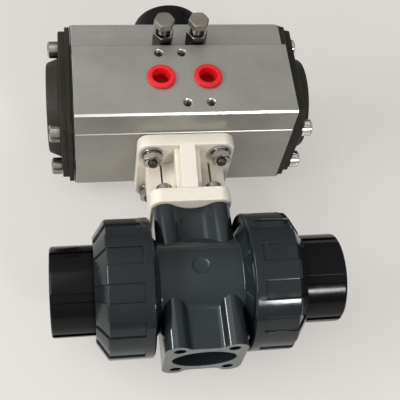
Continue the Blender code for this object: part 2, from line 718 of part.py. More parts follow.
def build_stem():
    groove = STEM_RADIUS - 2 * STEM_RING_SECTION - GAP
    half_groove = STEM_RING_SECTION + FLAT_GAP
    profile = [(0.0, NECK_TOP + GAP), (STEM_RADIUS, NECK_TOP + GAP)]
    for level in reversed(STEM_RING_HEIGHTS):
        profile += [(STEM_RADIUS, level + half_groove), (groove, level + half_groove)]
        profile += [(groove, level - half_groove), (STEM_RADIUS, level - half_groove)]
    profile += [(STEM_RADIUS, COLLAR_TOP), (STEM_COLLAR_RADIUS, COLLAR_TOP)]
    profile += [(STEM_COLLAR_RADIUS, COLLAR_BASE), (0.0, COLLAR_BASE)]
    stem = turned("stem", profile, 16, SEAT_PLASTIC, parent=stem_axis)
    half_tongue = STEM_TONGUE_WIDTH / 2
    reach = STEM_TONGUE_LENGTH / 2
    low = SLOT_FLOOR + GAP
    tongue = block("stem_tongue", (-reach, -half_tongue, low), (reach, half_tongue, COLLAR_TOP - GAP))
    boolean(stem, tongue, "UNION")
    half_square = STEM_SQUARE / 2
    low = (-half_square, -half_square, NECK_TOP - GAP)
    square = block("stem_square", low, (half_square, half_square, STEM_SQUARE_TOP))
    boolean(stem, square, "UNION")
    for level, label in zip(STEM_RING_HEIGHTS, ("lower", "upper")):
        radius = STEM_RADIUS - STEM_RING_SECTION
        where = (0, 0, level)
        seal_ring("stem_ring_" + label, radius, STEM_RING_SECTION, 16, location=where, parent=stem_axis)
    washer = ring_profile(STEM_COLLAR_RADIUS, STEM_RADIUS + GAP, WASHER_TOP, COLLAR_TOP + GAP)
    turned("thrust_washer", washer, 16, SEAT_PLASTIC, parent=stem_axis)


def build_coupling():
    base = LOWER_PLATE_BASE + GAP
    shoulder = BODY_BASE - GAP
    profile = [(0.0, shoulder), (COUPLING_RADIUS, shoulder), (COUPLING_RADIUS, base), (0.0, base)]
    coupling = turned("stem_coupling", profile, 16, STEEL, parent=stem_axis)
    half = DRIVE_SQUARE / 2
    top = BODY_BASE + DRIVE_SQUARE_DEPTH
    square = block("coupling_square", (-half, -half, shoulder - GAP), (half, half, top))
    boolean(coupling, square, "UNION")
    half = STEM_SQUARE / 2 + GAP
    socket = block("coupling_socket", (-half, -half, base - GAP), (half, half, STEM_SQUARE_TOP + GAP))
    boolean(coupling, socket)


# Mounting bracket


def build_bracket():
    lower = [rounded_rectangle(LOWER_PLATE_HALF_X, LOWER_PLATE_HALF_Y, PLATE_CORNER_RADIUS)]
    for centre in square_corners(VALVE_SCREW_PITCH, VALVE_SCREW_PITCH):
        lower.append(circle(VALVE_SCREW_RADIUS + GAP, 8, centre))
    level = (0, 0, LOWER_PLATE_BASE)
    bracket = extruded("mounting_bracket", lower, LOWER_PLATE_THICKNESS, CREAM_PLASTIC, location=level)
    upper = [rounded_rectangle(UPPER_PLATE_HALF, UPPER_PLATE_HALF, PLATE_CORNER_RADIUS)]
    for centre in square_corners(BRACKET_SCREW_PITCH, BRACKET_SCREW_PITCH):
        upper.append(circle(BRACKET_SCREW_RADIUS + GAP, 8, centre))
    level = (0, 0, UPPER_PLATE_BASE)
    boolean(bracket, extruded("upper_plate", upper, UPPER_PLATE_THICKNESS, location=level), "UNION")
    base = LOWER_PLATE_BASE + LOWER_PLATE_THICKNESS - GAP
    top = UPPER_PLATE_BASE + GAP
    sleeve = extruded("bracket_sleeve", [circle(SLEEVE_RADIUS, 16)], top - base, location=(0, 0, base))
    boolean(bracket, sleeve, "UNION")
    for width, step in ((RIB_STEP_WIDTH, RIB_STEP), (RIB_WIDTH, 0.0)):
        wide = RIB_TOP_REACH - step
        narrow = RIB_BASE_REACH - step
        taper = [(-narrow, base), (narrow, base), (wide, top), (-wide, top)]
        rib = extruded("bracket_rib", [taper], width, location=(-width / 2, 0, 0), rotation=ALONG_X)
        boolean(bracket, rib, "UNION")
    web = SIDE_WALL_INNER - SIDE_WALL_SLIT
    for near, far in ((-web, web), (SIDE_WALL_INNER, SIDE_WALL_OUTER), (-SIDE_WALL_OUTER, -SIDE_WALL_INNER)):
        wall = block("bracket_wall", (near, -SIDE_WALL_HALF_Y, base), (far, SIDE_WALL_HALF_Y, top))
        boolean(bracket, wall, "UNION")
    hole = ((0, 0, LOWER_PLATE_BASE), (0, 0, 1), COUPLING_RADIUS + 2 * GAP, BRACKET_HEIGHT + GAP)
    boolean(bracket, drill("coupling_hole", [hole], 16))


def bolt_mesh(name, radius, length, head_outline, head_height, steps=6):
    """A screw along its own Z: its head sits on z = 0 and its shank reaches down."""
    head = extruded(name, [head_outline], head_height)
    shank = ((0, 0, head_height / 2), (0, 0, -1), radius, length + head_height / 2)
    boolean(head, drill(name + "_shank", [shank], steps), "UNION")
    return baked_mesh(head)


def build_bracket_screws():
    level = UPPER_PLATE_BASE - GAP
    length = GAP + UPPER_PLATE_THICKNESS + GAP + BRACKET_SCREW_ENGAGEMENT
    flange = BRACKET_FLANGE_THICKNESS
    profile = [
        (0.0, flange + BRACKET_HEAD_HEIGHT),
        (BRACKET_HEAD_RADIUS, flange + BRACKET_HEAD_HEIGHT),
        (BRACKET_HEAD_RADIUS, flange),
        (BRACKET_FLANGE_RADIUS, flange),
        (BRACKET_FLANGE_RADIUS, 0.0),
        (BRACKET_SCREW_RADIUS, 0.0),
        (BRACKET_SCREW_RADIUS, -length),
        (0.0, -length),
    ]
    mesh = baked_mesh(turned("bracket_screw", profile, 12, STEEL))
    for i, (x, y) in enumerate(square_corners(BRACKET_SCREW_PITCH, BRACKET_SCREW_PITCH)):
        place(f"bracket_screw_{i + 1}", mesh, STEEL, location=(x, y, level), rotation=(pi, 0, 0))


def build_valve_screws():
    head = circle(VALVE_SCREW_HEAD_RADIUS, 12)
    length = LOWER_PLATE_THICKNESS + 2 * GAP + VALVE_SCREW_ENGAGEMENT - GAP
    mesh = bolt_mesh("valve_screw", VALVE_SCREW_RADIUS, length, head, VALVE_SCREW_HEAD_HEIGHT)
    level = LOWER_PLATE_BASE + LOWER_PLATE_THICKNESS + GAP
    for i, (x, y) in enumerate(square_corners(VALVE_SCREW_PITCH, VALVE_SCREW_PITCH)):
        place(f"valve_screw_{i + 1}", mesh, STEEL, location=(x, y, level))


# Actuator housing


def section_outline(inset=0.0):
    """The section across (-Y is the front) and up from the bore's centre: a box with chamfered corners."""
    front = -BODY_HALF_DEPTH + inset
    back = BODY_HALF_DEPTH - inset
    half = BODY_HEIGHT / 2 - inset
    shrink = inset * (2 - sqrt(2))
    chamfer = BODY_CHAMFER - shrink
    back_chamfer = BODY_BACK_CHAMFER - shrink
    return [
        (front + BODY_FOOT_SETBACK - shrink, -half),
        (back - back_chamfer, -half),
        (back, -half + back_chamfer),
        (back, half - back_chamfer),
        (back - back_chamfer, half),
        (front + chamfer, half),
        (front, half - chamfer),
        (front, -half + chamfer),
    ]


def padded_outline():
    """The body's section: the cap's section with the raised port pad along its front."""
    half = BODY_HEIGHT / 2
    outline = section_outline()[:-1]
    pad_base = -half + PAD_BOTTOM_RISE
    pad_top = pad_base + PAD_HEIGHT
    step = -BODY_HALF_DEPTH + BODY_FOOT_SETBACK
    outline += [(-BODY_HALF_DEPTH, pad_top), (-PAD_FACE, pad_top), (-PAD_FACE, pad_base), (step, pad_base)]
    return outline


def build_actuator_body():
    half_length = BODY_LENGTH / 2
    body = extruded("actuator_body", [padded_outline()], BODY_LENGTH, ANODISED,
                    location=(-half_length, 0, BORE_LEVEL), rotation=ALONG_X)
    bore = [((-half_length - 0.001, 0, BORE_LEVEL), (1, 0, 0), BORE_RADIUS, BODY_LENGTH + 0.002)]
    boolean(body, drill("piston_bore", bore, 32))
    foot_hole = PINION_FOOT_RADIUS + BUSH_WALL + 2 * GAP
    top_hole = PINION_TOP_RADIUS + BUSH_WALL + 2 * GAP
    shaft = [((0, 0, BODY_BASE), (0, 0, 1), foot_hole, BODY_HEIGHT / 2)]
    boolean(body, drill("pinion_foot_hole", shaft, 16))
    shaft = [((0, 0, BODY_TOP), (0, 0, -1), top_hole, BODY_HEIGHT / 2)]
    boolean(body, drill("pinion_top_hole", shaft, 16))
    holes = []
    for side in (RIGHT, LEFT):
        port = (side * PORT_SPACING / 2, -PAD_FACE, PORT_LEVEL)
        holes.append((port, (0, 1, 0), PORT_RADIUS, PORT_DEPTH))
        stop = (side * STOP_SPACING / 2, -BODY_HALF_DEPTH, STOP_LEVEL)
        holes.append((stop, (0, 1, 0), STOP_SCREW_RADIUS + GAP, BODY_HALF_DEPTH))
    boolean(body, drill("ports_and_stops", holes, 12))
    passages = []
    for side in (RIGHT, LEFT):
        port = (side * PORT_SPACING / 2, -PAD_FACE + PORT_DEPTH / 2, PORT_LEVEL)
        passages.append((port, (0, 1, 0), PORT_PASSAGE_RADIUS, PAD_FACE - PORT_DEPTH / 2))
    boolean(body, drill("air_passages", passages, 8))
    boolean(body, drill("tapped_holes", tapped_holes(), 8))
    build_port_plugs()


def tapped_holes():
    holes = []
    row = VALVE_FACE_PITCH_Z / 2
    for x, rise in ((-VALVE_FACE_PITCH_X, row), (0, row), (0, -row), (VALVE_FACE_PITCH_X, -row)):
        holes.append(((x, -PAD_FACE, PORT_LEVEL + rise), (0, 1, 0), TAPPED_HOLE_RADIUS, TAPPED_HOLE_DEPTH))
    for x, y in square_corners(TOP_HOLE_PITCH_X, TOP_HOLE_PITCH_Y):
        holes.append(((x, y, BODY_TOP), (0, 0, -1), TAPPED_HOLE_RADIUS, TAPPED_HOLE_DEPTH))
    for x, y in square_corners(BRACKET_SCREW_PITCH, BRACKET_SCREW_PITCH):
        depth = BRACKET_SCREW_ENGAGEMENT + GAP
        holes.append(((x, y, BODY_BASE), (0, 0, 1), BRACKET_SCREW_RADIUS + GAP, depth))
    for y, z in square_corners(CAP_SCREW_PITCH_Y, CAP_SCREW_PITCH_Z):
        for side in (RIGHT, LEFT):
            entry = (side * BODY_LENGTH / 2, y, BORE_LEVEL + z)
            holes.append((entry, (-side, 0, 0), CAP_SCREW_RADIUS + GAP, CAP_SCREW_ENGAGEMENT + GAP))
    return holes


def build_port_plugs():
    lip = 0.0006
    floor = -PLUG_LENGTH + 0.0012
    profile = [
        (0.0, floor),
        (PLUG_CUP_RADIUS, floor),
        (PLUG_CUP_RADIUS, PLUG_FLANGE_HEIGHT),
        (PLUG_FLANGE_RADIUS - lip, PLUG_FLANGE_HEIGHT),
        (PLUG_FLANGE_RADIUS, PLUG_FLANGE_HEIGHT - lip),
        (PLUG_FLANGE_RADIUS, 0.0),
        (PORT_RADIUS - GAP, 0.0),
        (PORT_RADIUS - GAP, -PLUG_LENGTH),
        (0.0, -PLUG_LENGTH),
    ]
    for side, label in ((LEFT, "left"), (RIGHT, "right")):
        where = (side * PORT_SPACING / 2, -PAD_FACE - GAP, PORT_LEVEL)
        turned("port_plug_" + label, profile, 16, RED_PLASTIC, location=where, rotation=(pi / 2, 0, 0))


def build_end_caps():
    cap = extruded("end_cap", [section_outline(CAP_FLANGE_INSET)], CAP_FLANGE_THICKNESS, DARK_CAST)
    start = CAP_FLANGE_THICKNESS / 2
    outline = [section_outline(CAP_FACE_INSET)]
    boolean(cap, extruded("cap_face", outline, CAP_THICKNESS - start, location=(0, 0, start)), "UNION")
    base = CAP_THICKNESS - GAP
    top = CAP_THICKNESS + DOME_HEIGHT
    rounding = 0.0016
    dome = [
        (0.0, top),
        (DOME_TOP_RADIUS - rounding, top),
        (DOME_TOP_RADIUS, top - rounding / 3),
        (DOME_RADIUS - rounding / 2, CAP_THICKNESS + rounding),
        (DOME_RADIUS, CAP_THICKNESS),
        (DOME_RADIUS, base),
        (0.0, base),
    ]
    boolean(cap, turned("cap_dome", dome, 28), "UNION")
    boolean(cap, drill("cap_hollow", [((0, 0, 0), (0, 0, 1), CAP_HOLLOW_RADIUS, CAP_HOLLOW_DEPTH)], 16))
    screws = square_corners(CAP_SCREW_PITCH_Y, CAP_SCREW_PITCH_Z)
    hole_radius = CAP_SCREW_RADIUS + GAP
    holes = [((y, z, 0), (0, 0, 1), hole_radius, CAP_THICKNESS + GAP) for y, z in screws]
    boolean(cap, drill("cap_screw_holes", holes, 8))
    mesh = baked_mesh(cap)
    ring = [section_outline(CAP_FLANGE_INSET / 2), circle(BORE_RADIUS + GAP, 20)]
    ring += [circle(hole_radius, 8, centre) for centre in screws]
    gasket = extruded_mesh("cap_gasket", ring, GASKET_THICKNESS)
    head = circle(CAP_SCREW_HEAD_RADIUS, 12)
    length = GAP + CAP_THICKNESS + GASKET_THICKNESS + 2 * FLAT_GAP + CAP_SCREW_ENGAGEMENT
    screw = bolt_mesh("cap_screw", CAP_SCREW_RADIUS, length, head, CAP_SCREW_HEAD_HEIGHT)
    for side, label, turn in ((LEFT, "left", AGAINST_X), (RIGHT, "right", ALONG_X)):
        face = side * CAP_FACE
        place("end_cap_" + label, mirrored(mesh, side), DARK_CAST, (face, 0, BORE_LEVEL), turn)
        joint = side * (BODY_LENGTH / 2 + FLAT_GAP)
        place("cap_gasket_" + label, mirrored(gasket, side), RUBBER, (joint, 0, BORE_LEVEL), turn)
        for i, (y, z) in enumerate(screws):
            level = face + side * (CAP_THICKNESS + GAP)
            place(f"cap_screw_{label}_{i + 1}", screw, STEEL, (level, y, BORE_LEVEL + z), along_pipe(side))


def mirrored(mesh, side):
    """The left cap is the right one turned round the stem, so its section is mirrored front to back."""
    if side == RIGHT:
        return mesh
    bm = bmesh.new()
    bm.from_mesh(mesh)
    bmesh.ops.scale(bm, vec=(-1, 1, 1), verts=bm.verts)
    return mesh_from(mesh.name + "_mirrored", bm)


# Rack and pinion


def involute(base_radius, radius):
    spread = sqrt((radius / base_radius) ** 2 - 1)
    return spread - atan2(spread, 1)


def gear_outline():
    """Involute teeth with a gap facing the front rack, thinned by the backlash."""
    base_radius = PITCH_RADIUS * cos(PRESSURE_ANGLE)
    root = PITCH_RADIUS - DEDENDUM_RATIO * MODULE
    tip = PITCH_RADIUS + ADDENDUM_RATIO * MODULE
    start = max(base_radius, root)
    half_tooth = (TOOTH_PITCH / 2 - BACKLASH) / (2 * PITCH_RADIUS) + involute(base_radius, PITCH_RADIUS)
    flank = [start + (tip - start) * i / 2 for i in range(3)]
    outline = []
    for tooth in range(PINION_TEETH):
        middle = 2 * pi * (tooth + 0.5) / PINION_TEETH
        rise = [(root, -half_tooth)] if root < start else []
        rise += [(radius, involute(base_radius, radius) - half_tooth) for radius in flank]
        fall = [(radius, -turn) for radius, turn in reversed(rise)]
        for radius, turn in rise + fall:
            outline.append((radius * cos(middle + turn), radius * sin(middle + turn)))
    return outline


def build_pinion():
    foot_top = BODY_BASE + PINION_FOOT_HEIGHT
    gear_base = BORE_LEVEL - GEAR_WIDTH / 2
    gear_top = BORE_LEVEL + GEAR_WIDTH / 2
    cam_top = STOP_LEVEL + CAM_HEIGHT / 2
    neck = PINION_NECK_RADIUS
    clip_floor = PINION_TOP_RADIUS - CIRCLIP_GROOVE_DEPTH
    clip_top = BODY_TOP + GAP + CIRCLIP_THICKNESS + FLAT_GAP
    clip_base = BODY_TOP + GAP - FLAT_GAP
    profile = [
        (0.0, BODY_TOP + PINION_TOP_RISE),
        (PINION_TOP_RADIUS, BODY_TOP + PINION_TOP_RISE),
        (PINION_TOP_RADIUS, clip_top),
        (clip_floor, clip_top),
        (clip_floor, clip_base),
        (PINION_TOP_RADIUS, clip_base),
        (PINION_TOP_RADIUS, cam_top - GAP),
        (PINION_TOP_RADIUS - GAP, cam_top - GAP),
        (PINION_TOP_RADIUS - GAP, gear_top),
        (neck, gear_top),
        (neck, foot_top),
        (PINION_FOOT_RADIUS, foot_top),
        (PINION_FOOT_RADIUS, BODY_BASE),
        (0.0, BODY_BASE),
    ]
    pinion = turned("pinion", profile, 12, GEAR_STEEL, parent=stem_axis)
    gear = extruded("pinion_gear", [gear_outline()], GEAR_WIDTH, location=(0, 0, gear_base))
    boolean(pinion, gear, "UNION")
    seat = circle(CAM_SEAT_INRADIUS / cos(pi / 8), 8)
    cam_seat = extruded("cam_seat", [seat], cam_top - gear_top, location=(0, 0, gear_top - GAP))
    boolean(pinion, cam_seat, "UNION")
    half = DRIVE_SQUARE / 2 + GAP
    top = BODY_BASE + DRIVE_SQUARE_DEPTH + GAP
    socket = block("pinion_socket", (-half, -half, BODY_BASE - GAP), (half, half, top))
    boolean(pinion, socket)
    depth = INDICATOR_SCREW_ENGAGEMENT + GAP
    hole = ((0, 0, BODY_TOP + PINION_TOP_RISE), (0, 0, -1), INDICATOR_SCREW_RADIUS + GAP, depth)
    boolean(pinion, drill("indicator_screw_hole", [hole], 8))


def build_stop_cam():
    """A sector that meets the right stop screw at rest and the left one after a quarter turn."""
    offset = CAM_STOP_OFFSET
    face_turn = asin(offset / CAM_RADIUS)
    hub_turn = asin(offset / CAM_HUB_RADIUS)
    outline = arc((0, 0), CAM_RADIUS, pi / 2 + face_turn, -face_turn, 8)
    outline += arc((0, 0), CAM_HUB_RADIUS, -hub_turn, -3 * pi / 2 + hub_turn, 16)
    seat = circle((CAM_SEAT_INRADIUS + GAP) / cos(pi / 8), 8)
    base = STOP_LEVEL - CAM_HEIGHT / 2
    extruded("stop_cam", [outline, seat], CAM_HEIGHT, GEAR_STEEL, location=(0, 0, base), parent=stem_axis)


def build_pinion_bearings():
    wall = BODY_HEIGHT / 2 - BORE_RADIUS
    inner = PINION_FOOT_RADIUS + GAP
    bush = ring_profile(inner + BUSH_WALL, inner, BODY_BASE + wall - GAP, BODY_BASE + GAP)
    turned("pinion_bush_lower", bush, 16, SEAT_PLASTIC, parent=stem_axis)
    inner = PINION_TOP_RADIUS + GAP
    bush = ring_profile(inner + BUSH_WALL, inner, BODY_TOP - GAP, BODY_TOP - wall + GAP)
    turned("pinion_bush_upper", bush, 16, SEAT_PLASTIC, parent=stem_axis)
    inner = PINION_TOP_RADIUS - CIRCLIP_GROOVE_DEPTH + FLAT_GAP
    start = pi / 2 + CIRCLIP_OPENING / 2
    end = 5 * pi / 2 - CIRCLIP_OPENING / 2
    clip = arc((0, 0), inner + CIRCLIP_WIDTH, start, end, 18)
    clip += arc((0, 0), inner, end, start, 18)
    level = (0, 0, BODY_TOP + GAP)
    extruded("pinion_circlip", [clip], CIRCLIP_THICKNESS, STEEL, location=level, parent=stem_axis)


def rack_outline():
    """The right piston's arm from above: a bar in front of the pinion with its teeth facing it."""
    addendum = ADDENDUM_RATIO * MODULE
    dedendum = DEDENDUM_RATIO * MODULE
    tip_line = -PITCH_RADIUS + addendum
    root_line = -PITCH_RADIUS - dedendum
    far_end = -PISTON_INNER_FACE + RACK_TIP_CLEARANCE
    half_tip = (TOOTH_PITCH / 2 - BACKLASH) / 2 - addendum * tan(PRESSURE_ANGLE)
    half_root = (TOOTH_PITCH / 2 - BACKLASH) / 2 + dedendum * tan(PRESSURE_ANGLE)
    near_end = PISTON_INNER_FACE + 0.001
    outline = [(near_end, -PISTON_RADIUS), (far_end, -PISTON_RADIUS), (far_end, root_line)]
    first = -int((-far_end - half_root) / TOOTH_PITCH)
    last = int((PISTON_INNER_FACE - half_root) / TOOTH_PITCH)
    for tooth in range(first, last + 1):
        middle = tooth * TOOTH_PITCH
        outline.append((middle - half_root, root_line))
        outline.append((middle - half_tip, tip_line))
        outline.append((middle + half_tip, tip_line))
        outline.append((middle + half_root, root_line))
    outline.append((near_end, root_line))
    return outline


def piston_mesh():
    outer = PISTON_INNER_FACE + PISTON_HEAD_THICKNESS
    ring_level = PISTON_INNER_FACE + PISTON_RING_POSITION
    half_groove = PISTON_RING_SECTION + FLAT_GAP
    ring_floor = PISTON_RADIUS - 2 * PISTON_RING_SECTION - FLAT_GAP
    guide_level = PISTON_INNER_FACE + GUIDE_POSITION
    half_guide = GUIDE_WIDTH / 2 + FLAT_GAP
    guide_floor = PISTON_RADIUS - GUIDE_THICKNESS
    edge = 0.001
    profile = [
        (0.0, outer),
        (PISTON_RADIUS - edge, outer),
        (PISTON_RADIUS, outer - edge),
        (PISTON_RADIUS, ring_level + half_groove),
        (ring_floor, ring_level + half_groove),
        (ring_floor, ring_level - half_groove),
        (PISTON_RADIUS, ring_level - half_groove),
        (PISTON_RADIUS, guide_level + half_guide),
        (guide_floor, guide_level + half_guide),
        (guide_floor, guide_level - half_guide),
        (PISTON_RADIUS, guide_level - half_guide),
        (PISTON_RADIUS, PISTON_INNER_FACE),
        (0.0, PISTON_INNER_FACE),
    ]
    arm = extruded("rack_arm", [rack_outline()], RACK_WIDTH, location=(0, 0, -RACK_WIDTH / 2), parent=None)
    barrel_length = 2 * outer
    barrel = drill("rack_barrel", [((-outer, 0, 0), (1, 0, 0), PISTON_RADIUS - GAP, barrel_length)], 20)
    barrel.parent = None
    boolean(arm, barrel, "INTERSECT")
    piston = turned("piston", profile, 20, ANODISED, rotation=along_pipe(RIGHT), parent=None)
    boolean(piston, arm, "UNION")
    bpy.context.view_layer.update()
    mesh = baked_mesh(piston)
    mesh.transform(Matrix.Rotation(pi / 2, 4, "Y"))
    return mesh


def build_pistons():
    mesh = piston_mesh()
    for side, label in ((RIGHT, "right"), (LEFT, "left")):
        turn = (0, 0, 0 if side == RIGHT else pi)
        place("piston_" + label, mesh, ANODISED, rotation=turn, parent=bore_axis)
        ring_radius = PISTON_RADIUS - PISTON_RING_SECTION + FLAT_GAP / 2
        level = side * (PISTON_INNER_FACE + PISTON_RING_POSITION)
        seal_ring("piston_ring_" + label, ring_radius, PISTON_RING_SECTION, 20,
                  location=(level, 0, 0), rotation=along_pipe(side), parent=bore_axis)
        level = PISTON_INNER_FACE + GUIDE_POSITION
        outer = PISTON_RADIUS + FLAT_GAP / 2
        inner = PISTON_RADIUS - GUIDE_THICKNESS + FLAT_GAP
        band = ring_profile(outer, inner, level + GUIDE_WIDTH / 2, level - GUIDE_WIDTH / 2)
        turned("piston_guide_" + label, band, 20, SEAT_PLASTIC, rotation=along_pipe(side), parent=bore_axis)


# Travel stops and indicator


def build_stops():
    tip = CAM_STOP_OFFSET + GAP
    head_base = STOP_HEAD_TOP - STOP_HEAD_HEIGHT
    head = hexagon(HEX_ACROSS_FLATS)
    mesh = bolt_mesh("stop_screw", STOP_SCREW_RADIUS, head_base - tip, head, STOP_HEAD_HEIGHT, 10)
    hole = circle(STOP_SCREW_RADIUS + GAP, 12)
    nut = extruded_mesh("stop_nut", [hexagon(HEX_ACROSS_FLATS), hole], STOP_NUT_HEIGHT)
    for side, label in ((LEFT, "left"), (RIGHT, "right")):
        x = side * STOP_SPACING / 2
        place("stop_screw_" + label, mesh, STEEL, (x, -head_base, STOP_LEVEL), (pi / 2, 0, 0))
        place("stop_nut_" + label, nut, STEEL, (x, -BODY_HALF_DEPTH - GAP, STOP_LEVEL), (pi / 2, 0, 0))


def build_indicator():
    base = INDICATOR_TOP - INDICATOR_HEIGHT
    rim = 0.0012
    bore_top = BODY_TOP + PINION_TOP_RISE + GAP
    profile = [
        (0.0, INDICATOR_TOP - INDICATOR_BAR_HEIGHT),
        (INDICATOR_RIM_RADIUS - rim, INDICATOR_TOP - INDICATOR_BAR_HEIGHT),
        (INDICATOR_RIM_RADIUS, INDICATOR_TOP - INDICATOR_BAR_HEIGHT - rim),
        (INDICATOR_RADIUS, INDICATOR_TOP - INDICATOR_HEIGHT / 3),
        (INDICATOR_RADIUS, base + rim),
        (INDICATOR_RADIUS - rim, base),
        (PINION_TOP_RADIUS + GAP, base),
        (PINION_TOP_RADIUS + GAP, bore_top),
        (0.0, bore_top),
    ]
    indicator = turned("position_indicator", profile, 28, BLACK_PLASTIC, parent=stem_axis)
    half_bar = INDICATOR_BAR_WIDTH / 2
    reach = INDICATOR_BAR_REACH
    low = INDICATOR_TOP - INDICATOR_BAR_HEIGHT - GAP
    bar = block("indicator_bar", (-half_bar, -reach, low), (half_bar, reach, INDICATOR_TOP))
    boolean(indicator, bar, "UNION")
    seat = INDICATOR_TOP - INDICATOR_SCREW_HEAD_HEIGHT
    holes = [
        ((0, 0, INDICATOR_TOP), (0, 0, -1), INDICATOR_SCREW_HEAD_RADIUS + GAP, INDICATOR_SCREW_HEAD_HEIGHT),
        ((0, 0, seat + GAP), (0, 0, -1), INDICATOR_SCREW_RADIUS + GAP, seat - bore_top + 3 * GAP),
    ]
    for hole in holes:
        boolean(indicator, drill("indicator_screw_hole", [hole], 12))
    length = seat + GAP - BODY_TOP - PINION_TOP_RISE + INDICATOR_SCREW_ENGAGEMENT
    head = circle(INDICATOR_SCREW_HEAD_RADIUS, 12)
    height = INDICATOR_SCREW_HEAD_HEIGHT - 2 * GAP
    mesh = bolt_mesh("indicator_screw", INDICATOR_SCREW_RADIUS, length, head, height)
    place("indicator_screw", mesh, STEEL, location=(0, 0, seat + GAP), parent=stem_axis)


build_valve_body()
build_ball_and_seats()
build_seat_carrier()
for end, end_name in ((LEFT, "left"), (RIGHT, "right")):
    build_end_connector(end, end_name)
    build_union_nut(end, end_name)
build_stem()
build_coupling()
build_bracket()
build_bracket_screws()
build_valve_screws()
build_actuator_body()
build_end_caps()
build_pinion()
build_stop_cam()
build_pinion_bearings()
build_pistons()
build_stops()
build_indicator()
bpy.context.view_layer.update()
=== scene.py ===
import json
from math import acos, atan2, cos, pi, radians, sin, sqrt

import bmesh
import bpy
from mathutils import Matrix, Vector


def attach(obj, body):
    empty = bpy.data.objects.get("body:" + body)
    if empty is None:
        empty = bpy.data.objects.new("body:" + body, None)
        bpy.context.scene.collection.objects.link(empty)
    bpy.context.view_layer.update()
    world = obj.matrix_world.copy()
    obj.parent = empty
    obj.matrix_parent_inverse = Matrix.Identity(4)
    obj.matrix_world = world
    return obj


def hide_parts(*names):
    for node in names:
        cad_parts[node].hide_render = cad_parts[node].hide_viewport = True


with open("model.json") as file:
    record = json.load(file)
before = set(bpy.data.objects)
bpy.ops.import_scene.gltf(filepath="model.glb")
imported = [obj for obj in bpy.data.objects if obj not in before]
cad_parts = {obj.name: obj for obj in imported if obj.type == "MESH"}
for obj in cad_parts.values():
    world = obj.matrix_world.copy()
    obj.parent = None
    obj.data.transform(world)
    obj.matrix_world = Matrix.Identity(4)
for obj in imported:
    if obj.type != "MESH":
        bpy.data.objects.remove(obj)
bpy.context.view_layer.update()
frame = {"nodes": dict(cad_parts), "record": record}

# Sizes are in millimetres in the valve's own frame: X along the pipe, Z up the stem, -Y to the air ports
MM = 0.001
DOUBLES = 0.002
SHORTEST_EDGE = 0.003
SEAT_GAP = 0.3
M5_RADIUS = 2.5
M5_HOLE = 2.8
M6_HOLE = 3.3
SIDES = {"left": -1, "right": 1}

# Valve body and bracket
SOLE = -38.3
NECK_TOP = 36.2
NECK_HALF_X = 19.4
NECK_HALF_Y = 18.2
BARREL_RADIUS = 22.8
PIPE_BORE_RADIUS = 12.8
NUT_PANEL_RADIUS = 33.4
NUT_FACETS = 144
NUT_TURN = {"left": 10.4, "right": 7.9}
GROOVE_TURN = {"left": -2.1, "right": -3.9}
LOWER_PLATE_FOOT = 36.5
LOWER_PLATE_TOP = 44.5
UPPER_PLATE_FOOT = 66.3
UPPER_PLATE_TOP = 73.3
VALVE_SCREW_PITCH = 25.46
BRACKET_SCREW_PITCH = 35.36

# Actuator
HALF_LENGTH = 56.4
HALF_DEPTH = 34.2
HALF_HEIGHT = 35.6
ACTUATOR_FOOT = 73.6
ACTUATOR_TOP = 144.8
BORE_LEVEL = 109.2
PORT_FACE = -40.5
PORT_X = 12.0
PORT_LEVEL = 97.0
STOP_X = 8.9
STOP_LEVEL = 124.3
CAP_SEAT = 57.4
CAP_FACE = 6.2
CAP_SCREW_PITCHES = (31.0, 55.5)
TOP_HOLE_PITCHES = (80.0, 30.0)
TAPPED_FRONT = ((-12.0, 113.0), (0.0, 113.0), (0.0, 81.0), (12.0, 81.0))

# How the valve lies on its back, and which way its pieces face
STEM_MIDDLE = 64.9
LAID = Matrix.Translation((0.0, -STEM_MIDDLE * MM, HALF_DEPTH * MM)) @ Matrix.Rotation(-pi / 2, 4, "X")
HERE = Matrix.Identity(4)
ACROSS = Matrix(((0, 0, 1, 0), (1, 0, 0, 0), (0, 1, 0, 0), (0, 0, 0, 1)))
FORWARD = Matrix.Rotation(pi / 2, 4, "X")
DOWNWARD = Matrix.Rotation(pi, 4, "X")


def along_pipe(side):
    """Turns a piece's own Z outwards along the pipe."""
    return Matrix.Rotation(side * pi / 2, 4, "Y")


def about_z(angle):
    return Matrix.Rotation(angle, 4, "Z")


def shifted(x, y, z, turn=HERE):
    return Matrix.Translation((x * MM, y * MM, z * MM)) @ turn


# Hand modelling


def begin():
    """Leaves nothing selected, so the next operator reaches only the new piece."""
    bpy.ops.object.select_all(action="DESELECT")


def pick_faces(test):
    """Selects the faces that pass a test, in edit mode."""
    bpy.ops.mesh.select_mode(type="FACE")
    bpy.ops.mesh.select_all(action="DESELECT")
    mesh = bpy.context.object.data
    shape = bmesh.from_edit_mesh(mesh)
    for face in shape.faces:
        if test(face):
            face.select_set(True)
    shape.select_flush_mode()
    bmesh.update_edit_mesh(mesh)


def turn_of(face):
    """How far round Z a face's middle lies, clockwise from X."""
    middle = face.calc_center_median()
    return Vector((1.0, 0.0)).angle_signed(Vector((middle.x, middle.y)))


def stands(face):
    """Whether a face is upright, its normal about level."""
    return abs(face.normal.z) < 0.2


def close(name):
    """Merges doubles, turns every face outwards and leaves edit mode."""
    bpy.ops.mesh.select_all(action="SELECT")
    bpy.ops.mesh.remove_doubles(threshold=DOUBLES * MM)
    bpy.ops.mesh.normals_make_consistent(inside=False)
    bpy.ops.object.mode_set(mode="OBJECT")
    piece = bpy.context.object
    piece.name = name
    piece.data.name = name
    return piece


def placed(piece, where):
    """Puts a piece's place and turn into its mesh."""
    begin()
    piece.select_set(True)
    bpy.context.view_layer.objects.active = piece
    piece.matrix_world = where
    bpy.ops.object.transform_apply(location=True, rotation=True, scale=True)
    return piece


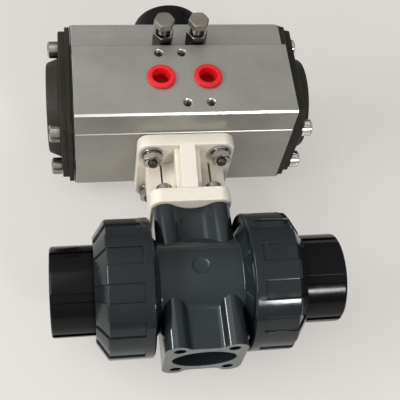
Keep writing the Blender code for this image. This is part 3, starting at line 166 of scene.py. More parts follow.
def turned(name, rings, sides, turn=0.0):
    """A circle drawn out ring by ring, each a radius and a height.

    Ending on the first ring makes a tube. A small turn keeps its corners off those of a piece it meets.
    """
    begin()
    radius, height = rings[0]
    tube = rings[0] == rings[-1]
    bpy.ops.mesh.primitive_circle_add(
        vertices=sides, radius=radius * MM, fill_type="NOTHING" if tube else "NGON", rotation=(0, 0, turn)
    )
    bpy.ops.object.transform_apply(location=True, rotation=True, scale=True)
    bpy.ops.object.mode_set(mode="EDIT")
    bpy.ops.mesh.select_mode(type="EDGE")
    bpy.ops.mesh.select_all(action="SELECT")
    bpy.ops.transform.translate(value=(0, 0, height * MM))
    for next_radius, next_height in rings[1:]:
        rise = (next_height - height) * MM
        bpy.ops.mesh.extrude_edges_move(TRANSFORM_OT_translate={"value": (0, 0, rise)})
        grow = next_radius / radius
        bpy.ops.transform.resize(value=(grow, grow, 1.0))
        radius, height = next_radius, next_height
    if not tube:
        bpy.ops.mesh.edge_face_add()
    return close(name)


def prism(name, outline, low, high):
    """A disc with its corners moved to an outline, drawn up into a bar."""
    begin()
    bpy.ops.mesh.primitive_circle_add(vertices=len(outline), radius=MM, fill_type="NGON")
    bpy.ops.object.mode_set(mode="EDIT")
    mesh = bpy.context.object.data
    shape = bmesh.from_edit_mesh(mesh)
    for corner, (x, y) in zip(shape.verts, outline):
        corner.co = (x * MM, y * MM, low * MM)
    bmesh.update_edit_mesh(mesh)
    bpy.ops.mesh.select_all(action="SELECT")
    bpy.ops.mesh.extrude_region_move(TRANSFORM_OT_translate={"value": (0, 0, (high - low) * MM)})
    return close(name)


def bar(name, low, high):
    """A cube drawn to two opposite corners."""
    begin()
    middle = (Vector(low) + Vector(high)) / 2 * MM
    size = (Vector(high) - Vector(low)) * MM
    bpy.ops.mesh.primitive_cube_add(size=1.0, location=middle, scale=size)
    bpy.ops.object.transform_apply(location=True, rotation=True, scale=True)
    bpy.ops.object.mode_set(mode="EDIT")
    return close(name)


def discard(piece):
    bpy.data.objects.remove(piece, do_unlink=True)


def applied(piece, step):
    bpy.context.view_layer.objects.active = piece
    bpy.ops.object.modifier_apply(modifier=step.name)
    return piece


def combined(piece, tool, operation="DIFFERENCE"):
    """Cuts a piece with a tool, or adds the tool to it, and uses the tool up."""
    step = piece.modifiers.new("shape", "BOOLEAN")
    step.operation = operation
    step.solver = "EXACT"
    step.object = tool
    applied(piece, step)
    discard(tool)
    return piece


def drilled(piece, name, radius, depth, where, flare=0.3, sides=40):
    """Cuts a round hole down from its place, with a small countersink at its mouth."""
    mouth = radius + flare
    tool = turned(name, [(mouth, 0.6), (mouth, 0.0), (radius, -flare), (radius, -depth)], sides)
    return combined(piece, placed(tool, where))


def softened(piece, width, segments, angle=30.0, clamp=True):
    """Rounds every edge sharper than the angle."""
    step = piece.modifiers.new("edges", "BEVEL")
    step.width = width * MM
    step.segments = segments
    step.limit_method = "ANGLE"
    step.angle_limit = radians(angle)
    step.use_clamp_overlap = clamp
    return applied(piece, step)


def joined(name, pieces):
    """Several shells kept as one piece."""
    begin()
    for piece in pieces:
        piece.select_set(True)
    bpy.context.view_layer.objects.active = pieces[0]
    bpy.ops.object.join()
    pieces[0].name = name
    pieces[0].data.name = name
    return pieces[0]


def copied(piece, name):
    twin = piece.copy()
    twin.data = piece.data.copy()
    twin.name = name
    twin.data.name = name
    bpy.context.scene.collection.objects.link(twin)
    return twin


def fitted(piece, look, body, nodes=(), where=HERE, smooth=34.0):
    """Lays a finished piece down in its place, gives it its look and its body."""
    placed(piece, LAID @ where)
    bpy.ops.object.mode_set(mode="EDIT")
    bpy.ops.mesh.select_all(action="SELECT")
    bpy.ops.mesh.dissolve_degenerate(threshold=SHORTEST_EDGE * MM)
    close(piece.name)
    bpy.ops.object.shade_smooth_by_angle(angle=radians(smooth))
    step = piece.modifiers.new("flat_faces", "WEIGHTED_NORMAL")
    step.weight = 80
    step.keep_sharp = True
    applied(piece, step)
    if look is not None:
        piece.data.materials.clear()
        piece.data.materials.append(look)
    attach(piece, body)
    if nodes:
        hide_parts(*nodes)
    return piece


def fitted_copy(piece, name, look, body, where):
    """Fits a copy of a piece in the place of the node of that name."""
    return fitted(copied(piece, name + "_look"), look, body, [name], where)


def second_look(piece, look, test):
    """Gives the faces that pass a test a finish of their own."""
    piece.data.materials.append(look)
    index = len(piece.data.materials) - 1
    for face in piece.data.polygons:
        if test(face):
            face.material_index = index


def rounded_rectangle(half_x, half_y, radius):
    steps = 8
    outline = []
    for quarter, (sx, sy) in enumerate(((1, 1), (-1, 1), (-1, -1), (1, -1))):
        for step in range(steps + 1):
            turn = (quarter + step / steps) * pi / 2
            x = sx * (half_x - radius) + radius * cos(turn)
            y = sy * (half_y - radius) + radius * sin(turn)
            outline.append((x, y))
    return outline


def hexagon(across):
    """The corners of a hexagon by its width across the flats."""
    corner = across / sqrt(3)
    return [(corner * cos(i * pi / 3), corner * sin(i * pi / 3)) for i in range(6)]


def square_places(pitch_x, pitch_y):
    return [(sx * pitch_x / 2, sy * pitch_y / 2) for sx in (-1, 1) for sy in (-1, 1)]


# Finishes


def new_finish(name):
    look = bpy.data.materials.new(name)
    look.use_nodes = True
    return look, look.node_tree


def node(tree, kind, values=(), **settings):
    made = tree.nodes.new(kind)
    for key, value in settings.items():
        setattr(made, key, value)
    for key, value in dict(values).items():
        made.inputs[key].default_value = value
    return made


def place_on_piece(tree, scale=(1.0, 1.0, 1.0)):
    """Object coordinates, stretched by a scale."""
    coordinates = node(tree, "ShaderNodeTexCoord")
    mapping = node(tree, "ShaderNodeMapping", {"Scale": scale})
    tree.links.new(coordinates.outputs["Object"], mapping.inputs["Vector"])
    return mapping.outputs["Vector"]


def speckle(tree, place, scale, detail=3.0):
    made = node(tree, "ShaderNodeTexNoise", {"Scale": scale, "Detail": detail, "Roughness": 0.55})
    tree.links.new(place, made.inputs["Vector"])
    return made.outputs["Fac"]


def two_tone(tree, factor, dark, light):
    """A run from a dark to a light tone over the middle of a speckle."""
    ramp = node(tree, "ShaderNodeValToRGB")
    for stop, position, tone in zip(ramp.color_ramp.elements, (0.35, 0.65), (dark, light)):
        stop.position = position
        stop.color = (*tone, 1.0)
    tree.links.new(factor, ramp.inputs["Fac"])
    return ramp.outputs["Color"]


def ranged(tree, factor, low, high, to_low, to_high):
    """Moves a value from one range to another."""
    span = {"From Min": low, "From Max": high, "To Min": to_low, "To Max": to_high}
    made = node(tree, "ShaderNodeMapRange", span)
    tree.links.new(factor, made.inputs["Value"])
    return made.outputs["Result"]


def spread(tree, factor, low, high):
    """Brings a speckle to a range of roughness."""
    return ranged(tree, factor, 0.3, 0.7, low, high)


def relief(tree, factor, strength):
    made = node(tree, "ShaderNodeBump", {"Strength": strength, "Distance": 0.1 * MM})
    tree.links.new(factor, made.inputs["Height"])
    return made.outputs["Normal"]


def moulded(name, dark, light, gloss, grain, shine=0.5, patch=28.0):
    """A moulded or painted surface: slow tone changes, uneven gloss and a fine skin."""
    look, tree = new_finish(name)
    shader = tree.nodes["Principled BSDF"]
    shader.inputs["Specular IOR Level"].default_value = shine
    grain_scale, grain_strength = grain
    place = place_on_piece(tree)
    slow = speckle(tree, place, patch)
    uneven = speckle(tree, place, patch * 7)
    fine = speckle(tree, place, grain_scale, 2.0)
    tree.links.new(two_tone(tree, slow, dark, light), shader.inputs["Base Color"])
    tree.links.new(spread(tree, uneven, *gloss), shader.inputs["Roughness"])
    tree.links.new(relief(tree, fine, grain_strength), shader.inputs["Normal"])
    return look


def metal(name, dark, light, gloss, lines, strength, metallic=1.0):
    """A metal with fine lines, drawn out along the axis that has the fewest of them."""
    look, tree = new_finish(name)
    shader = tree.nodes["Principled BSDF"]
    shader.inputs["Metallic"].default_value = metallic
    drawn = speckle(tree, place_on_piece(tree, lines), 1.0, 4.0)
    slow = speckle(tree, place_on_piece(tree), 45.0)
    tree.links.new(two_tone(tree, slow, dark, light), shader.inputs["Base Color"])
    tree.links.new(spread(tree, drawn, *gloss), shader.inputs["Roughness"])
    tree.links.new(relief(tree, drawn, strength), shader.inputs["Normal"])
    return look


def painted_gap_shade(look, tone, amount, reach, own=True, reflection_shade=0.0):
    """Paints shade into a piece's inner corners, or also into its gaps to others: a darker tone there as
    painted shade, and less shine there as painted shade on its reflections.
    """
    shut, clear = 0.2, 0.85
    tree = look.node_tree
    shader = tree.nodes["Principled BSDF"]
    colour = shader.inputs["Base Color"].links[0].from_socket
    near = node(tree, "ShaderNodeAmbientOcclusion", {"Distance": reach}, samples=12, only_local=own)
    openness = near.outputs["AO"]
    if reflection_shade:
        level = shader.inputs["Specular IOR Level"]
        shine = level.default_value
        tree.links.new(ranged(tree, openness, shut, clear, shine * (1 - reflection_shade), shine), level)
    mix = node(tree, "ShaderNodeMix", data_type="RGBA")
    mix.inputs["B"].default_value = (*tone, 1.0)
    tree.links.new(ranged(tree, openness, shut, clear, amount, 0.0), mix.inputs["Factor"])
    tree.links.new(colour, mix.inputs["A"])
    tree.links.new(mix.outputs["Result"], shader.inputs["Base Color"])


DRAWN = (6, 1500, 1500)

SLATE = moulded(
    "slate_pvc", (0.0112, 0.0168, 0.0192), (0.0156, 0.0224, 0.0250),
    gloss=(0.05, 0.09), grain=(600.0, 0.03), shine=0.50,
)
SLATE_NUT = moulded(
    "slate_nut_pvc", (0.0072, 0.0108, 0.0126), (0.0106, 0.0152, 0.0170),
    gloss=(0.09, 0.16), grain=(900.0, 0.06), shine=0.42,
)
SAWN_SLATE = moulded(
    "sawn_slate_pvc", (0.150, 0.154, 0.146), (0.186, 0.190, 0.180),
    gloss=(0.45, 0.60), grain=(1600.0, 0.35), shine=0.3, patch=90.0,
)
BLACK = moulded(
    "black_pvc", (0.0018, 0.0018, 0.0021), (0.0032, 0.0032, 0.0036),
    gloss=(0.12, 0.22), grain=(700.0, 0.08), shine=0.19,
)
CREAM = moulded(
    "cream_nylon", (0.695, 0.648, 0.562), (0.755, 0.706, 0.630),
    gloss=(0.34, 0.46), grain=(1300.0, 0.12), shine=0.45,
)
CAP_PAINT = moulded(
    "charcoal_cap_paint", (0.020, 0.019, 0.014), (0.029, 0.028, 0.022),
    gloss=(0.50, 0.64), grain=(1500.0, 0.22), shine=0.16,
)
RED = moulded(
    "red_plug_plastic", (0.60, 0.006, 0.010), (0.74, 0.012, 0.016),
    gloss=(0.28, 0.40), grain=(1200.0, 0.10), shine=0.45,
)
INDICATOR_BLACK = moulded(
    "indicator_black", (0.003, 0.003, 0.003), (0.005, 0.005, 0.005),
    gloss=(0.35, 0.48), grain=(1600.0, 0.25), shine=0.14,
)
POINTER_YELLOW = moulded(
    "pointer_yellow", (0.70, 0.44, 0.02), (0.80, 0.52, 0.04), gloss=(0.35, 0.48), grain=(1200.0, 0.10)
)
RUBBER = moulded(
    "black_rubber", (0.010, 0.010, 0.010), (0.020, 0.020, 0.019), gloss=(0.55, 0.75), grain=(2000.0, 0.30)
)
SEAT_WHITE = moulded(
    "white_seat_plastic", (0.74, 0.74, 0.71), (0.82, 0.82, 0.80), gloss=(0.38, 0.50), grain=(1500.0, 0.10)
)
EXTRUSION = metal(
    "anodised_extrusion", (0.380, 0.371, 0.341), (0.432, 0.422, 0.390),
    gloss=(0.42, 0.54), lines=DRAWN, strength=0.06, metallic=0.85,
)
BRIGHT_EDGE = metal(
    "bright_cut_edge", (0.80, 0.79, 0.77), (0.90, 0.89, 0.87),
    gloss=(0.32, 0.42), lines=DRAWN, strength=0.04,
)
# Painted shade: a dark metal for the pad's top chamfer, drawing a shadow line along the pad's upper edge.
PAD_EDGE_SHADE = metal(
    "painted_shade_pad_edge", (0.14, 0.137, 0.126), (0.18, 0.176, 0.163),
    gloss=(0.40, 0.52), lines=DRAWN, strength=0.05,
)
STEEL = metal(
    "fastener_steel", (0.40, 0.39, 0.36), (0.52, 0.51, 0.48),
    gloss=(0.14, 0.22), lines=(500, 500, 500), strength=0.03,
)
DULL_STEEL = metal(
    "dull_stop_steel", (0.29, 0.278, 0.244), (0.41, 0.388, 0.346),
    gloss=(0.38, 0.54), lines=(1500, 400, 1500), strength=0.12,
)
# Darker steel for the studs and threads; on the stop nuts' upright flats it is painted shade, the dark
# reflections along a nut's sides.
DARK_STEEL = metal(
    "dark_thread_steel_and_shaded_nut_flats", (0.06, 0.055, 0.048), (0.12, 0.11, 0.10),
    gloss=(0.30, 0.48), lines=(700, 700, 700), strength=0.15,
)
GEAR = metal(
    "gear_steel", (0.24, 0.24, 0.23), (0.33, 0.33, 0.32),
    gloss=(0.28, 0.42), lines=(800, 800, 800), strength=0.12,
)
CUT_METAL = metal(
    "fresh_cut_aluminium", (0.30, 0.30, 0.29), (0.44, 0.44, 0.42),
    gloss=(0.16, 0.28), lines=(900, 900, 900), strength=0.08,
)

# Painted shade: these finishes darken in their corners and gaps and lose shine there, to near-black on the
# slate, black and steel, to yellow-brown on the cream and to dark red on the red.
painted_gap_shade(SLATE, (0.002, 0.003, 0.003), amount=0.7, reach=0.008, own=False, reflection_shade=0.3)
painted_gap_shade(SLATE_NUT, (0.002, 0.003, 0.003), amount=0.8, reach=0.022, own=False, reflection_shade=1.0)
painted_gap_shade(BLACK, (0.001, 0.001, 0.001), amount=0.8, reach=0.028, own=False, reflection_shade=1.0)
painted_gap_shade(CREAM, (0.66, 0.52, 0.30), amount=0.45, reach=0.003)
painted_gap_shade(RED, (0.20, 0.002, 0.003), amount=0.8, reach=0.006)
painted_gap_shade(STEEL, (0.02, 0.018, 0.014), amount=0.95, reach=0.003, own=False)

NODE_LOOKS = {
    "slate_plastic": SLATE,
    "black_plastic": BLACK,
    "cream_plastic": CREAM,
    "seat_plastic": SEAT_WHITE,
    "seal_rubber": RUBBER,
    "red_plastic": RED,
    "anodised_aluminium": EXTRUSION,
    "dark_cast_aluminium": CAP_PAINT,
    "fastener_steel": STEEL,
    "gear_steel": GEAR,
}
for part in frame["record"]["subparts"]:
    kept = frame["nodes"][part["node"]]
    kept.data.materials.clear()
    kept.data.materials.append(NODE_LOOKS[part["material_slot"]])


# Valve body


def neck(name, low, high, dip, hollow):
    """A block with a round lobe at each corner and a hollow front and back between the lobes."""
    lobe = 6.0
    lobe_steps = 24
    hollow_steps = 12
    lean = acos(1 - dip / (lobe + hollow))
    middle_x = NECK_HALF_X - lobe
    middle_y = NECK_HALF_Y - lobe
    foot_x = middle_x - (lobe + hollow) * sin(lean)
    foot_y = NECK_HALF_Y - dip + hollow
    quarter = []
    for step in range(lobe_steps + 1):
        turn = step / lobe_steps * (pi / 2 + lean)
        quarter.append((middle_x + lobe * cos(turn), middle_y + lobe * sin(turn)))
    for step in range(1, hollow_steps + 1):
        turn = lean * (1 - step / hollow_steps)
        quarter.append((foot_x + hollow * sin(turn), foot_y - hollow * cos(turn)))
    outline = quarter + [(-x, y) for x, y in reversed(quarter)]
    outline += [(-x, -y) for x, y in quarter] + [(x, -y) for x, y in reversed(quarter)]
    return softened(prism(name, outline, low, high), 0.45, 3, angle=40.0)


def blend(name, wall, front, up):
    """A bar with a hollow face that eases the barrel into the hollow wall of a neck."""
    radius = 6.0
    overlap = 1.01
    bite = 4.0
    half_width = 8.4
    steps = 12
    reach = wall + radius
    rise = sqrt((BARREL_RADIUS + radius) ** 2 - reach ** 2)
    outline = []
    for step in range(steps + 1):
        turn = -step / steps * atan2(rise, reach)
        across = radius * overlap * cos(turn) - reach
        level = rise + radius * overlap * sin(turn)
        outline.append((front * across, up * level))
    for level in (rise - radius, rise + 0.1):
        outline.append((front * (bite - wall), up * level))
    return placed(prism(name, outline, -half_width, half_width), ACROSS)


def make_valve_body():
    thread, shoulder = 29.3, 28.3
    barrel = [
        (thread, 34.0), (thread, 23.5), (shoulder, 23.5), (BARREL_RADIUS, 19.8),
        (BARREL_RADIUS, -19.8), (shoulder, -23.5), (thread, -23.5), (thread, -34.0),
    ]
    body = placed(turned("valve_body_look", barrel, 120), along_pipe(1))
    softened(body, 0.6, 3, angle=25.0)
    top_dip, foot_dip = 5.5, 3.8
    combined(body, neck("top_neck", 0.0, NECK_TOP, top_dip, hollow=13.0), "UNION")
    combined(body, neck("foot_neck", SOLE, 0.0, foot_dip, hollow=3.2), "UNION")
    for front in (1, -1):
        combined(body, blend("top_blend", NECK_HALF_Y - top_dip, front, 1), "UNION")
        combined(body, blend("foot_blend", NECK_HALF_Y - foot_dip, front, -1), "UNION")
    half_line, proud = 0.14, 0.06
    line_low = (-19.7, -BARREL_RADIUS - proud, -half_line)
    line_high = (19.7, -BARREL_RADIUS + 0.8, half_line)
    combined(body, bar("parting_line", line_low, line_high), "UNION")
    carrier, ball_space, seat = 20.2, 19.6, 17.8
    chamber = [
        (carrier, 35.0), (carrier, 12.0), (ball_space, 12.0), (ball_space, -12.0), (seat, -12.0),
        (seat, -21.7), (15.5, -21.7), (PIPE_BORE_RADIUS, -21.7), (PIPE_BORE_RADIUS, -35.0),
    ]
    combined(body, placed(turned("chamber", chamber, 90, turn=radians(1.3)), along_pipe(1)))
    ring_bore, stem_way = 9.5, 7.8
    stem_bore = [(stem_way, NECK_TOP + 1.0), (stem_way, 24.1), (ring_bore, 24.1), (ring_bore, 12.5)]
    combined(body, turned("stem_bore", stem_bore, 48))
    half_long, half_short = 15.4, 10.4
    rim = half_long + 0.5
    oval = [(rim, SOLE - 1.0), (rim, SOLE - 0.1), (half_long, SOLE + 0.4), (half_long, -25.3)]
    hollow = turned("hollow", oval, 96, turn=0.02)
    combined(body, placed(hollow, Matrix.Diagonal((1.0, half_short / half_long, 1.0, 1.0))))
    for x, y in square_places(VALVE_SCREW_PITCH, VALVE_SCREW_PITCH):
        drilled(body, "foot_hole", M5_HOLE, 9.0, shifted(x, y, SOLE, DOWNWARD))
        drilled(body, "neck_hole", M5_HOLE, 10.3, shifted(x, y, NECK_TOP))
    dish = [(4.4, 2.0), (4.4, 0.0), (4.2, -0.35), (3.7, -0.62), (2.8, -0.72), (0.4, -0.75)]
    gate = turned("gate_mark", dish, 64)
    combined(body, placed(gate, shifted(0, -BARREL_RADIUS, 0, FORWARD)))
    fitted(body, SLATE, "valve", ["valve_body"])
    sawn_to = (SOLE - STEM_MIDDLE) * MM + 0.6 * MM
    second_look(body, SAWN_SLATE, lambda face: face.normal.y < -0.4 and face.center.y < sawn_to)


def make_ball():
    radius, bore, half_slot = 19.0, 12.5, 4.0
    past = radius + 1.0
    begin()
    bpy.ops.mesh.primitive_uv_sphere_add(segments=72, ring_count=36, radius=radius * MM)
    bpy.ops.object.mode_set(mode="EDIT")
    ball = close("ball_look")
    combined(ball, placed(turned("ball_bore", [(bore, past), (bore, -past)], 64, turn=0.02), FORWARD))
    combined(ball, bar("ball_slot", (-past, -half_slot, 14.2), (past, half_slot, past)))
    softened(ball, 0.3, 2, angle=40.0, clamp=False)
    fitted(ball, SLATE, "drive", ["ball"])


# Union ends


def nut_recesses(phase):
    """Twelve shallow panels as one tool: a ring with the lands between them taken away."""
    outside, low, high = 36.4, 27.6, 51.0
    rings = [
        (NUT_PANEL_RADIUS, low), (NUT_PANEL_RADIUS, 44.01), (22.7, high),
        (outside, high), (outside, low), (NUT_PANEL_RADIUS, low),
    ]
    panel = pi / 12
    tool = turned("nut_recesses", rings, NUT_FACETS, turn=phase - panel / 2)
    bpy.ops.object.mode_set(mode="EDIT")
    pick_faces(lambda face: (-turn_of(face) - phase + panel) % (2 * panel) > panel)
    bpy.ops.mesh.delete(type="FACE")
    bpy.ops.mesh.select_all(action="SELECT")
    bpy.ops.mesh.fill_holes(sides=0)
    return close(tool.name)


def make_union_nut(label, side):
    phase = radians(NUT_TURN[label])
    outer, thread, collar = 34.2, 29.6, 22.3
    low, shoulder, end = 22.6, 40.3, 50.0
    rings = [
        (33.4, low), (outer, 23.4), (outer, 43.6), (34.05, 44.15), (33.7, 44.65), (33.2, 45.05),
        (25.7, end), (collar, end), (collar, shoulder), (thread, shoulder), (thread, low), (33.4, low),
    ]
    body = "union_nut_" + label
    half_facet = pi / NUT_FACETS
    nut = turned(body + "_look", rings, NUT_FACETS, turn=phase + half_facet)
    combined(nut, nut_recesses(phase))
    softened(nut, 0.22, 2, angle=32.0)
    fitted(nut, SLATE_NUT, body, [body], along_pipe(side))


def make_end_connector(label, side):
    outer, flange, socket = 22.0, 27.5, 16.0
    inner, shoulder, stop, end = 34.3, 40.0, 48.5, 70.5
    rings = [
        (21.0, end), (21.5, 70.3), (21.85, 69.85), (outer, 69.2), (outer, shoulder),
        (flange, shoulder), (flange, inner), (PIPE_BORE_RADIUS, inner), (PIPE_BORE_RADIUS, stop),
        (socket, stop), (socket, end - 1.0), (socket + 1.0, end), (21.0, end),
    ]
    name = "end_connector_" + label
    connector = turned(name + "_look", rings, 120, turn=0.01)
    floor, half_width = 21.2, 2.25
    groove = bar("groove", (floor, -half_width, 50.0), (floor + 3.0, half_width, end + 1.5))
    bpy.ops.object.mode_set(mode="EDIT")
    bpy.ops.mesh.select_all(action="SELECT")
    bpy.ops.mesh.spin(steps=6, dupli=True, angle=2 * pi, center=(0, 0, 0), axis=(0, 0, 1))
    close(groove.name)
    combined(connector, placed(groove, about_z(radians(GROOVE_TURN[label]))))
    softened(connector, 0.25, 2, angle=32.0)
    fitted(connector, BLACK, "valve", [name], along_pipe(side))


# Mounting bracket


def make_bracket():
    lower = rounded_rectangle(20.5, 20.0, 6.0)
    upper = rounded_rectangle(25.0, 25.0, 6.0)
    bracket = prism("mounting_bracket_look", lower, LOWER_PLATE_FOOT, LOWER_PLATE_TOP)
    softened(bracket, 0.9, 3, angle=40.0)
    plate = prism("upper_plate", upper, UPPER_PLATE_FOOT, UPPER_PLATE_TOP)
    combined(bracket, softened(plate, 0.9, 3, angle=40.0), "UNION")
    sleeve = [(11.5, LOWER_PLATE_TOP - 1.5), (11.5, UPPER_PLATE_FOOT + 1.7)]
    combined(bracket, turned("sleeve", sleeve, 72, turn=0.02), "UNION")
    web, post_in, post_out, half_depth = 12.2, 13.1, 20.0, 7.8
    for near, far in ((-web, web), (post_in, post_out), (-post_out, -post_in)):
        low = (near, -half_depth, LOWER_PLATE_TOP - 0.8)
        high = (far, half_depth, UPPER_PLATE_FOOT + 0.8)
        combined(bracket, softened(bar("wall", low, high), 0.4, 3), "UNION")
    low, high = LOWER_PLATE_TOP - 0.6, UPPER_PLATE_FOOT + 0.6
    for width, step in ((13.0, 3.5), (8.0, 0.0)):
        wide = 24.8 - step
        narrow = 19.2 - step
        taper = [(-narrow, low), (narrow, low), (wide, high), (-wide, high)]
        rib = softened(prism("rib", taper, -width / 2, width / 2), 0.45, 3)
        combined(bracket, placed(rib, ACROSS), "UNION")
    coupling = [(8.2, UPPER_PLATE_TOP + 0.7), (8.2, LOWER_PLATE_FOOT - 0.5)]
    combined(bracket, turned("coupling_hole", coupling, 64, turn=0.03))
    for x, y in square_places(VALVE_SCREW_PITCH, VALVE_SCREW_PITCH):
        where = shifted(x, y, LOWER_PLATE_TOP)
        drilled(bracket, "lower_hole", M5_HOLE, 9.0, where, flare=0.25, sides=32)
    for x, y in square_places(BRACKET_SCREW_PITCH, BRACKET_SCREW_PITCH):
        where = shifted(x, y, UPPER_PLATE_FOOT, DOWNWARD)
        drilled(bracket, "upper_hole", M6_HOLE, 8.0, where, flare=0.25, sides=32)
    fitted(bracket, CREAM, "valve", ["mounting_bracket"], smooth=28.0)


# Fasteners


def knurled_head(name, radius, height, across, depth):
    """A round head on z = 0 with a knurled side, an eased top edge and a hexagon socket."""
    sides = 64
    ease = 0.9
    rings = [(radius, 0.0), (radius, height - ease), (radius - 0.15, height - 0.8), (radius - ease, height)]
    head = turned(name, rings, sides)
    bpy.ops.object.mode_set(mode="EDIT")

    def every_other_side(face):
        on_side = stands(face) and face.calc_center_median().z < (height - 1.0) * MM
        return on_side and int((turn_of(face) % (2 * pi)) / (2 * pi / sides)) % 2 == 0

    pick_faces(every_other_side)
    bpy.ops.mesh.inset(thickness=0.03 * MM, depth=-0.14 * MM, use_individual=True)
    close(name)
    return combined(head, prism("socket", hexagon(across), height - depth, height + 1.0))


def washer(name, outer, inner, low, high):
    rings = [(outer, low), (outer, high), (inner, high), (inner, low), (outer, low)]
    return softened(turned(name, rings, 56), 0.12, 2)


def spring_washer(name, outer, inner, low, high):
    """A square section swept almost once round, so its cut ends show."""
    begin()
    bpy.ops.mesh.primitive_plane_add(size=1.0)
    bpy.ops.object.mode_set(mode="EDIT")
    mesh = bpy.context.object.data
    shape = bmesh.from_edit_mesh(mesh)
    # A plane's corners count along its X, then along its Y
    section = [(inner, low), (outer, low), (inner, high), (outer, high)]
    for corner, (radius, height) in zip(shape.verts, section):
        corner.co = (radius * MM, 0.0, height * MM)
    bmesh.update_edit_mesh(mesh)
    bpy.ops.mesh.select_all(action="SELECT")
    bpy.ops.mesh.spin(steps=48, angle=radians(348), center=(0, 0, 0), axis=(0, 0, 1))
    return close(name)


def shank(radius, top, bottom):
    """A plain bolt shank with a pointed end."""
    tip = 0.6
    rings = [(radius, top), (radius, bottom + tip), (radius - tip, bottom)]
    return turned("shank", rings, 32)


def hexagon_piece(name, across, low, high, disc=0.97, cone_below=True):
    """A six-sided bar turned down to a cone at its ends, as hexagon heads and nuts are."""
    cone_slope = 0.577
    six = prism(name, hexagon(across), low, high)
    rim = across / sqrt(3) + 0.4
    flat = across / 2 * disc
    ease = (rim - flat) * cone_slope
    rings = [(flat, low), (rim, low + ease)] if cone_below else [(rim, low - 1)]
    rings += [(rim, high - ease), (flat, high)]
    return combined(six, turned("cone_ends", rings, 64, turn=0.03), "INTERSECT")


def thread_rings(radius, depth, pitch, top, bottom):
    """Crests and roots down a thread."""
    rings = []
    level = top
    while level - pitch > bottom:
        rings += [(radius, level), (radius - depth, level - pitch * 0.5)]
        level -= pitch
    return rings


def make_bracket_screws():
    """Two washers and a hexagon nut on a stud whose end stands out of the nut."""
    flat = washer("flat_washer", outer=5.8, inner=3.1, low=0.0, high=1.2)
    split = spring_washer("split_washer", outer=4.9, inner=3.1, low=1.22, high=2.0)
    nut = hexagon_piece("bracket_nut", across=9.4, low=2.02, high=5.8, disc=0.93)
    combined(nut, turned("nut_bore", [(2.7, 7.0), (2.7, 5.7), (2.35, 5.3), (2.35, 0.5)], 40))
    softened(nut, 0.1, 2, angle=35.0)
    end, body = 2.25, 2.9
    rings = [(1.5, 7.9), (2.1, 7.5)]
    rings += thread_rings(end, depth=0.25, pitch=0.7, top=7.3, bottom=4.9)
    rings += [(end, 4.5), (end, 1.6), (body, 1.4), (body, -16.0), (body - 0.6, -16.6)]
    stud = turned("stud", rings, 40)
    for shell in (flat, split, nut):
        shell.data.materials.append(STEEL)
    stud.data.materials.append(DARK_STEEL)
    screw = joined("bracket_screw", [nut, flat, split, stud])
    seat = UPPER_PLATE_FOOT - SEAT_GAP
    for i, (x, y) in enumerate(square_places(BRACKET_SCREW_PITCH, BRACKET_SCREW_PITCH)):
        where = shifted(x, y, seat, DOWNWARD @ about_z(0.45 + 0.2 * i))
        fitted_copy(screw, f"bracket_screw_{i + 1}", None, "valve", where)
    discard(screw)


def make_valve_screws():
    head = knurled_head("valve_screw", radius=4.0, height=4.8, across=4.0, depth=2.4)
    screw = joined("valve_screw", [head, shank(M5_RADIUS, top=0.4, bottom=-18.3)])
    seat = LOWER_PLATE_TOP + SEAT_GAP
    for i, (x, y) in enumerate(square_places(VALVE_SCREW_PITCH, VALVE_SCREW_PITCH)):
        where = shifted(x, y, seat, about_z(0.3 + i))
        fitted_copy(screw, f"valve_screw_{i + 1}", STEEL, "valve", where)
    discard(screw)


def make_cap_screws():
    head = knurled_head("cap_screw", radius=4.6, height=5.6, across=4.0, depth=2.6)
    screw = joined("cap_screw", [head, shank(M5_RADIUS, top=0.4, bottom=-18.0)])
    seat = CAP_SEAT + CAP_FACE + SEAT_GAP
    for label, side in SIDES.items():
        for i, (y, z) in enumerate(square_places(*CAP_SCREW_PITCHES)):
            where = shifted(side * seat, y, BORE_LEVEL + z, along_pipe(side) @ about_z(0.7 * i))
            fitted_copy(screw, f"cap_screw_{label}_{i + 1}", STEEL, "valve", where)
    discard(screw)


def make_stops():
    """The two travel stop screws, each with its lock nut."""
    head = hexagon_piece("stop_screw", across=9.4, low=0.0, high=4.0, disc=0.90, cone_below=False)
    thread, collar, body = 3.0, 4.4, 2.9
    rings = [(collar, 0.2), (collar, -0.35), (body, -0.4)]
    rings += thread_rings(thread, depth=0.42, pitch=0.9, top=-1.0, bottom=-24.0)
    rings += [(body, -24.2), (body, -43.6), (body - 0.6, -44.2)]
    shaft = turned("stop_thread", rings, 40)
    shaft.data.materials.append(DARK_STEEL)
    head.data.materials.append(DULL_STEEL)
    screw = joined("stop_screw", [head, shaft])
    nut = hexagon_piece("stop_nut", across=9.8, low=0.0, high=10.0)
    mouth, bore = 3.7, 3.25
    rings = [(mouth, 11.0), (mouth, 10.0), (bore, 9.5), (bore, 0.5), (mouth, 0.0), (mouth, -1.0)]
    combined(nut, turned("nut_bore", rings, 40))
    softened(nut, 0.12, 2, angle=35.0)
    nut_seat = -HALF_DEPTH - SEAT_GAP
    screw_seat = nut_seat - 15.0
    for label, side in SIDES.items():
        x = side * STOP_X
        name = "stop_screw_" + label
        where = shifted(x, screw_seat, STOP_LEVEL, FORWARD @ about_z(0.05))
        fitted_copy(screw, name, None, name, where)
        name = "stop_nut_" + label
        where = shifted(x, nut_seat, STOP_LEVEL, FORWARD @ about_z(0.13 - 0.08 * side))
        # The nut's upright flats take the dark steel as painted shade, the dark reflections along its
        # sides, while its ends stay plain steel.
        second_look(fitted_copy(nut, name, STEEL, "valve", where), DARK_STEEL, stands)
    discard(screw)
    discard(nut)


# Actuator


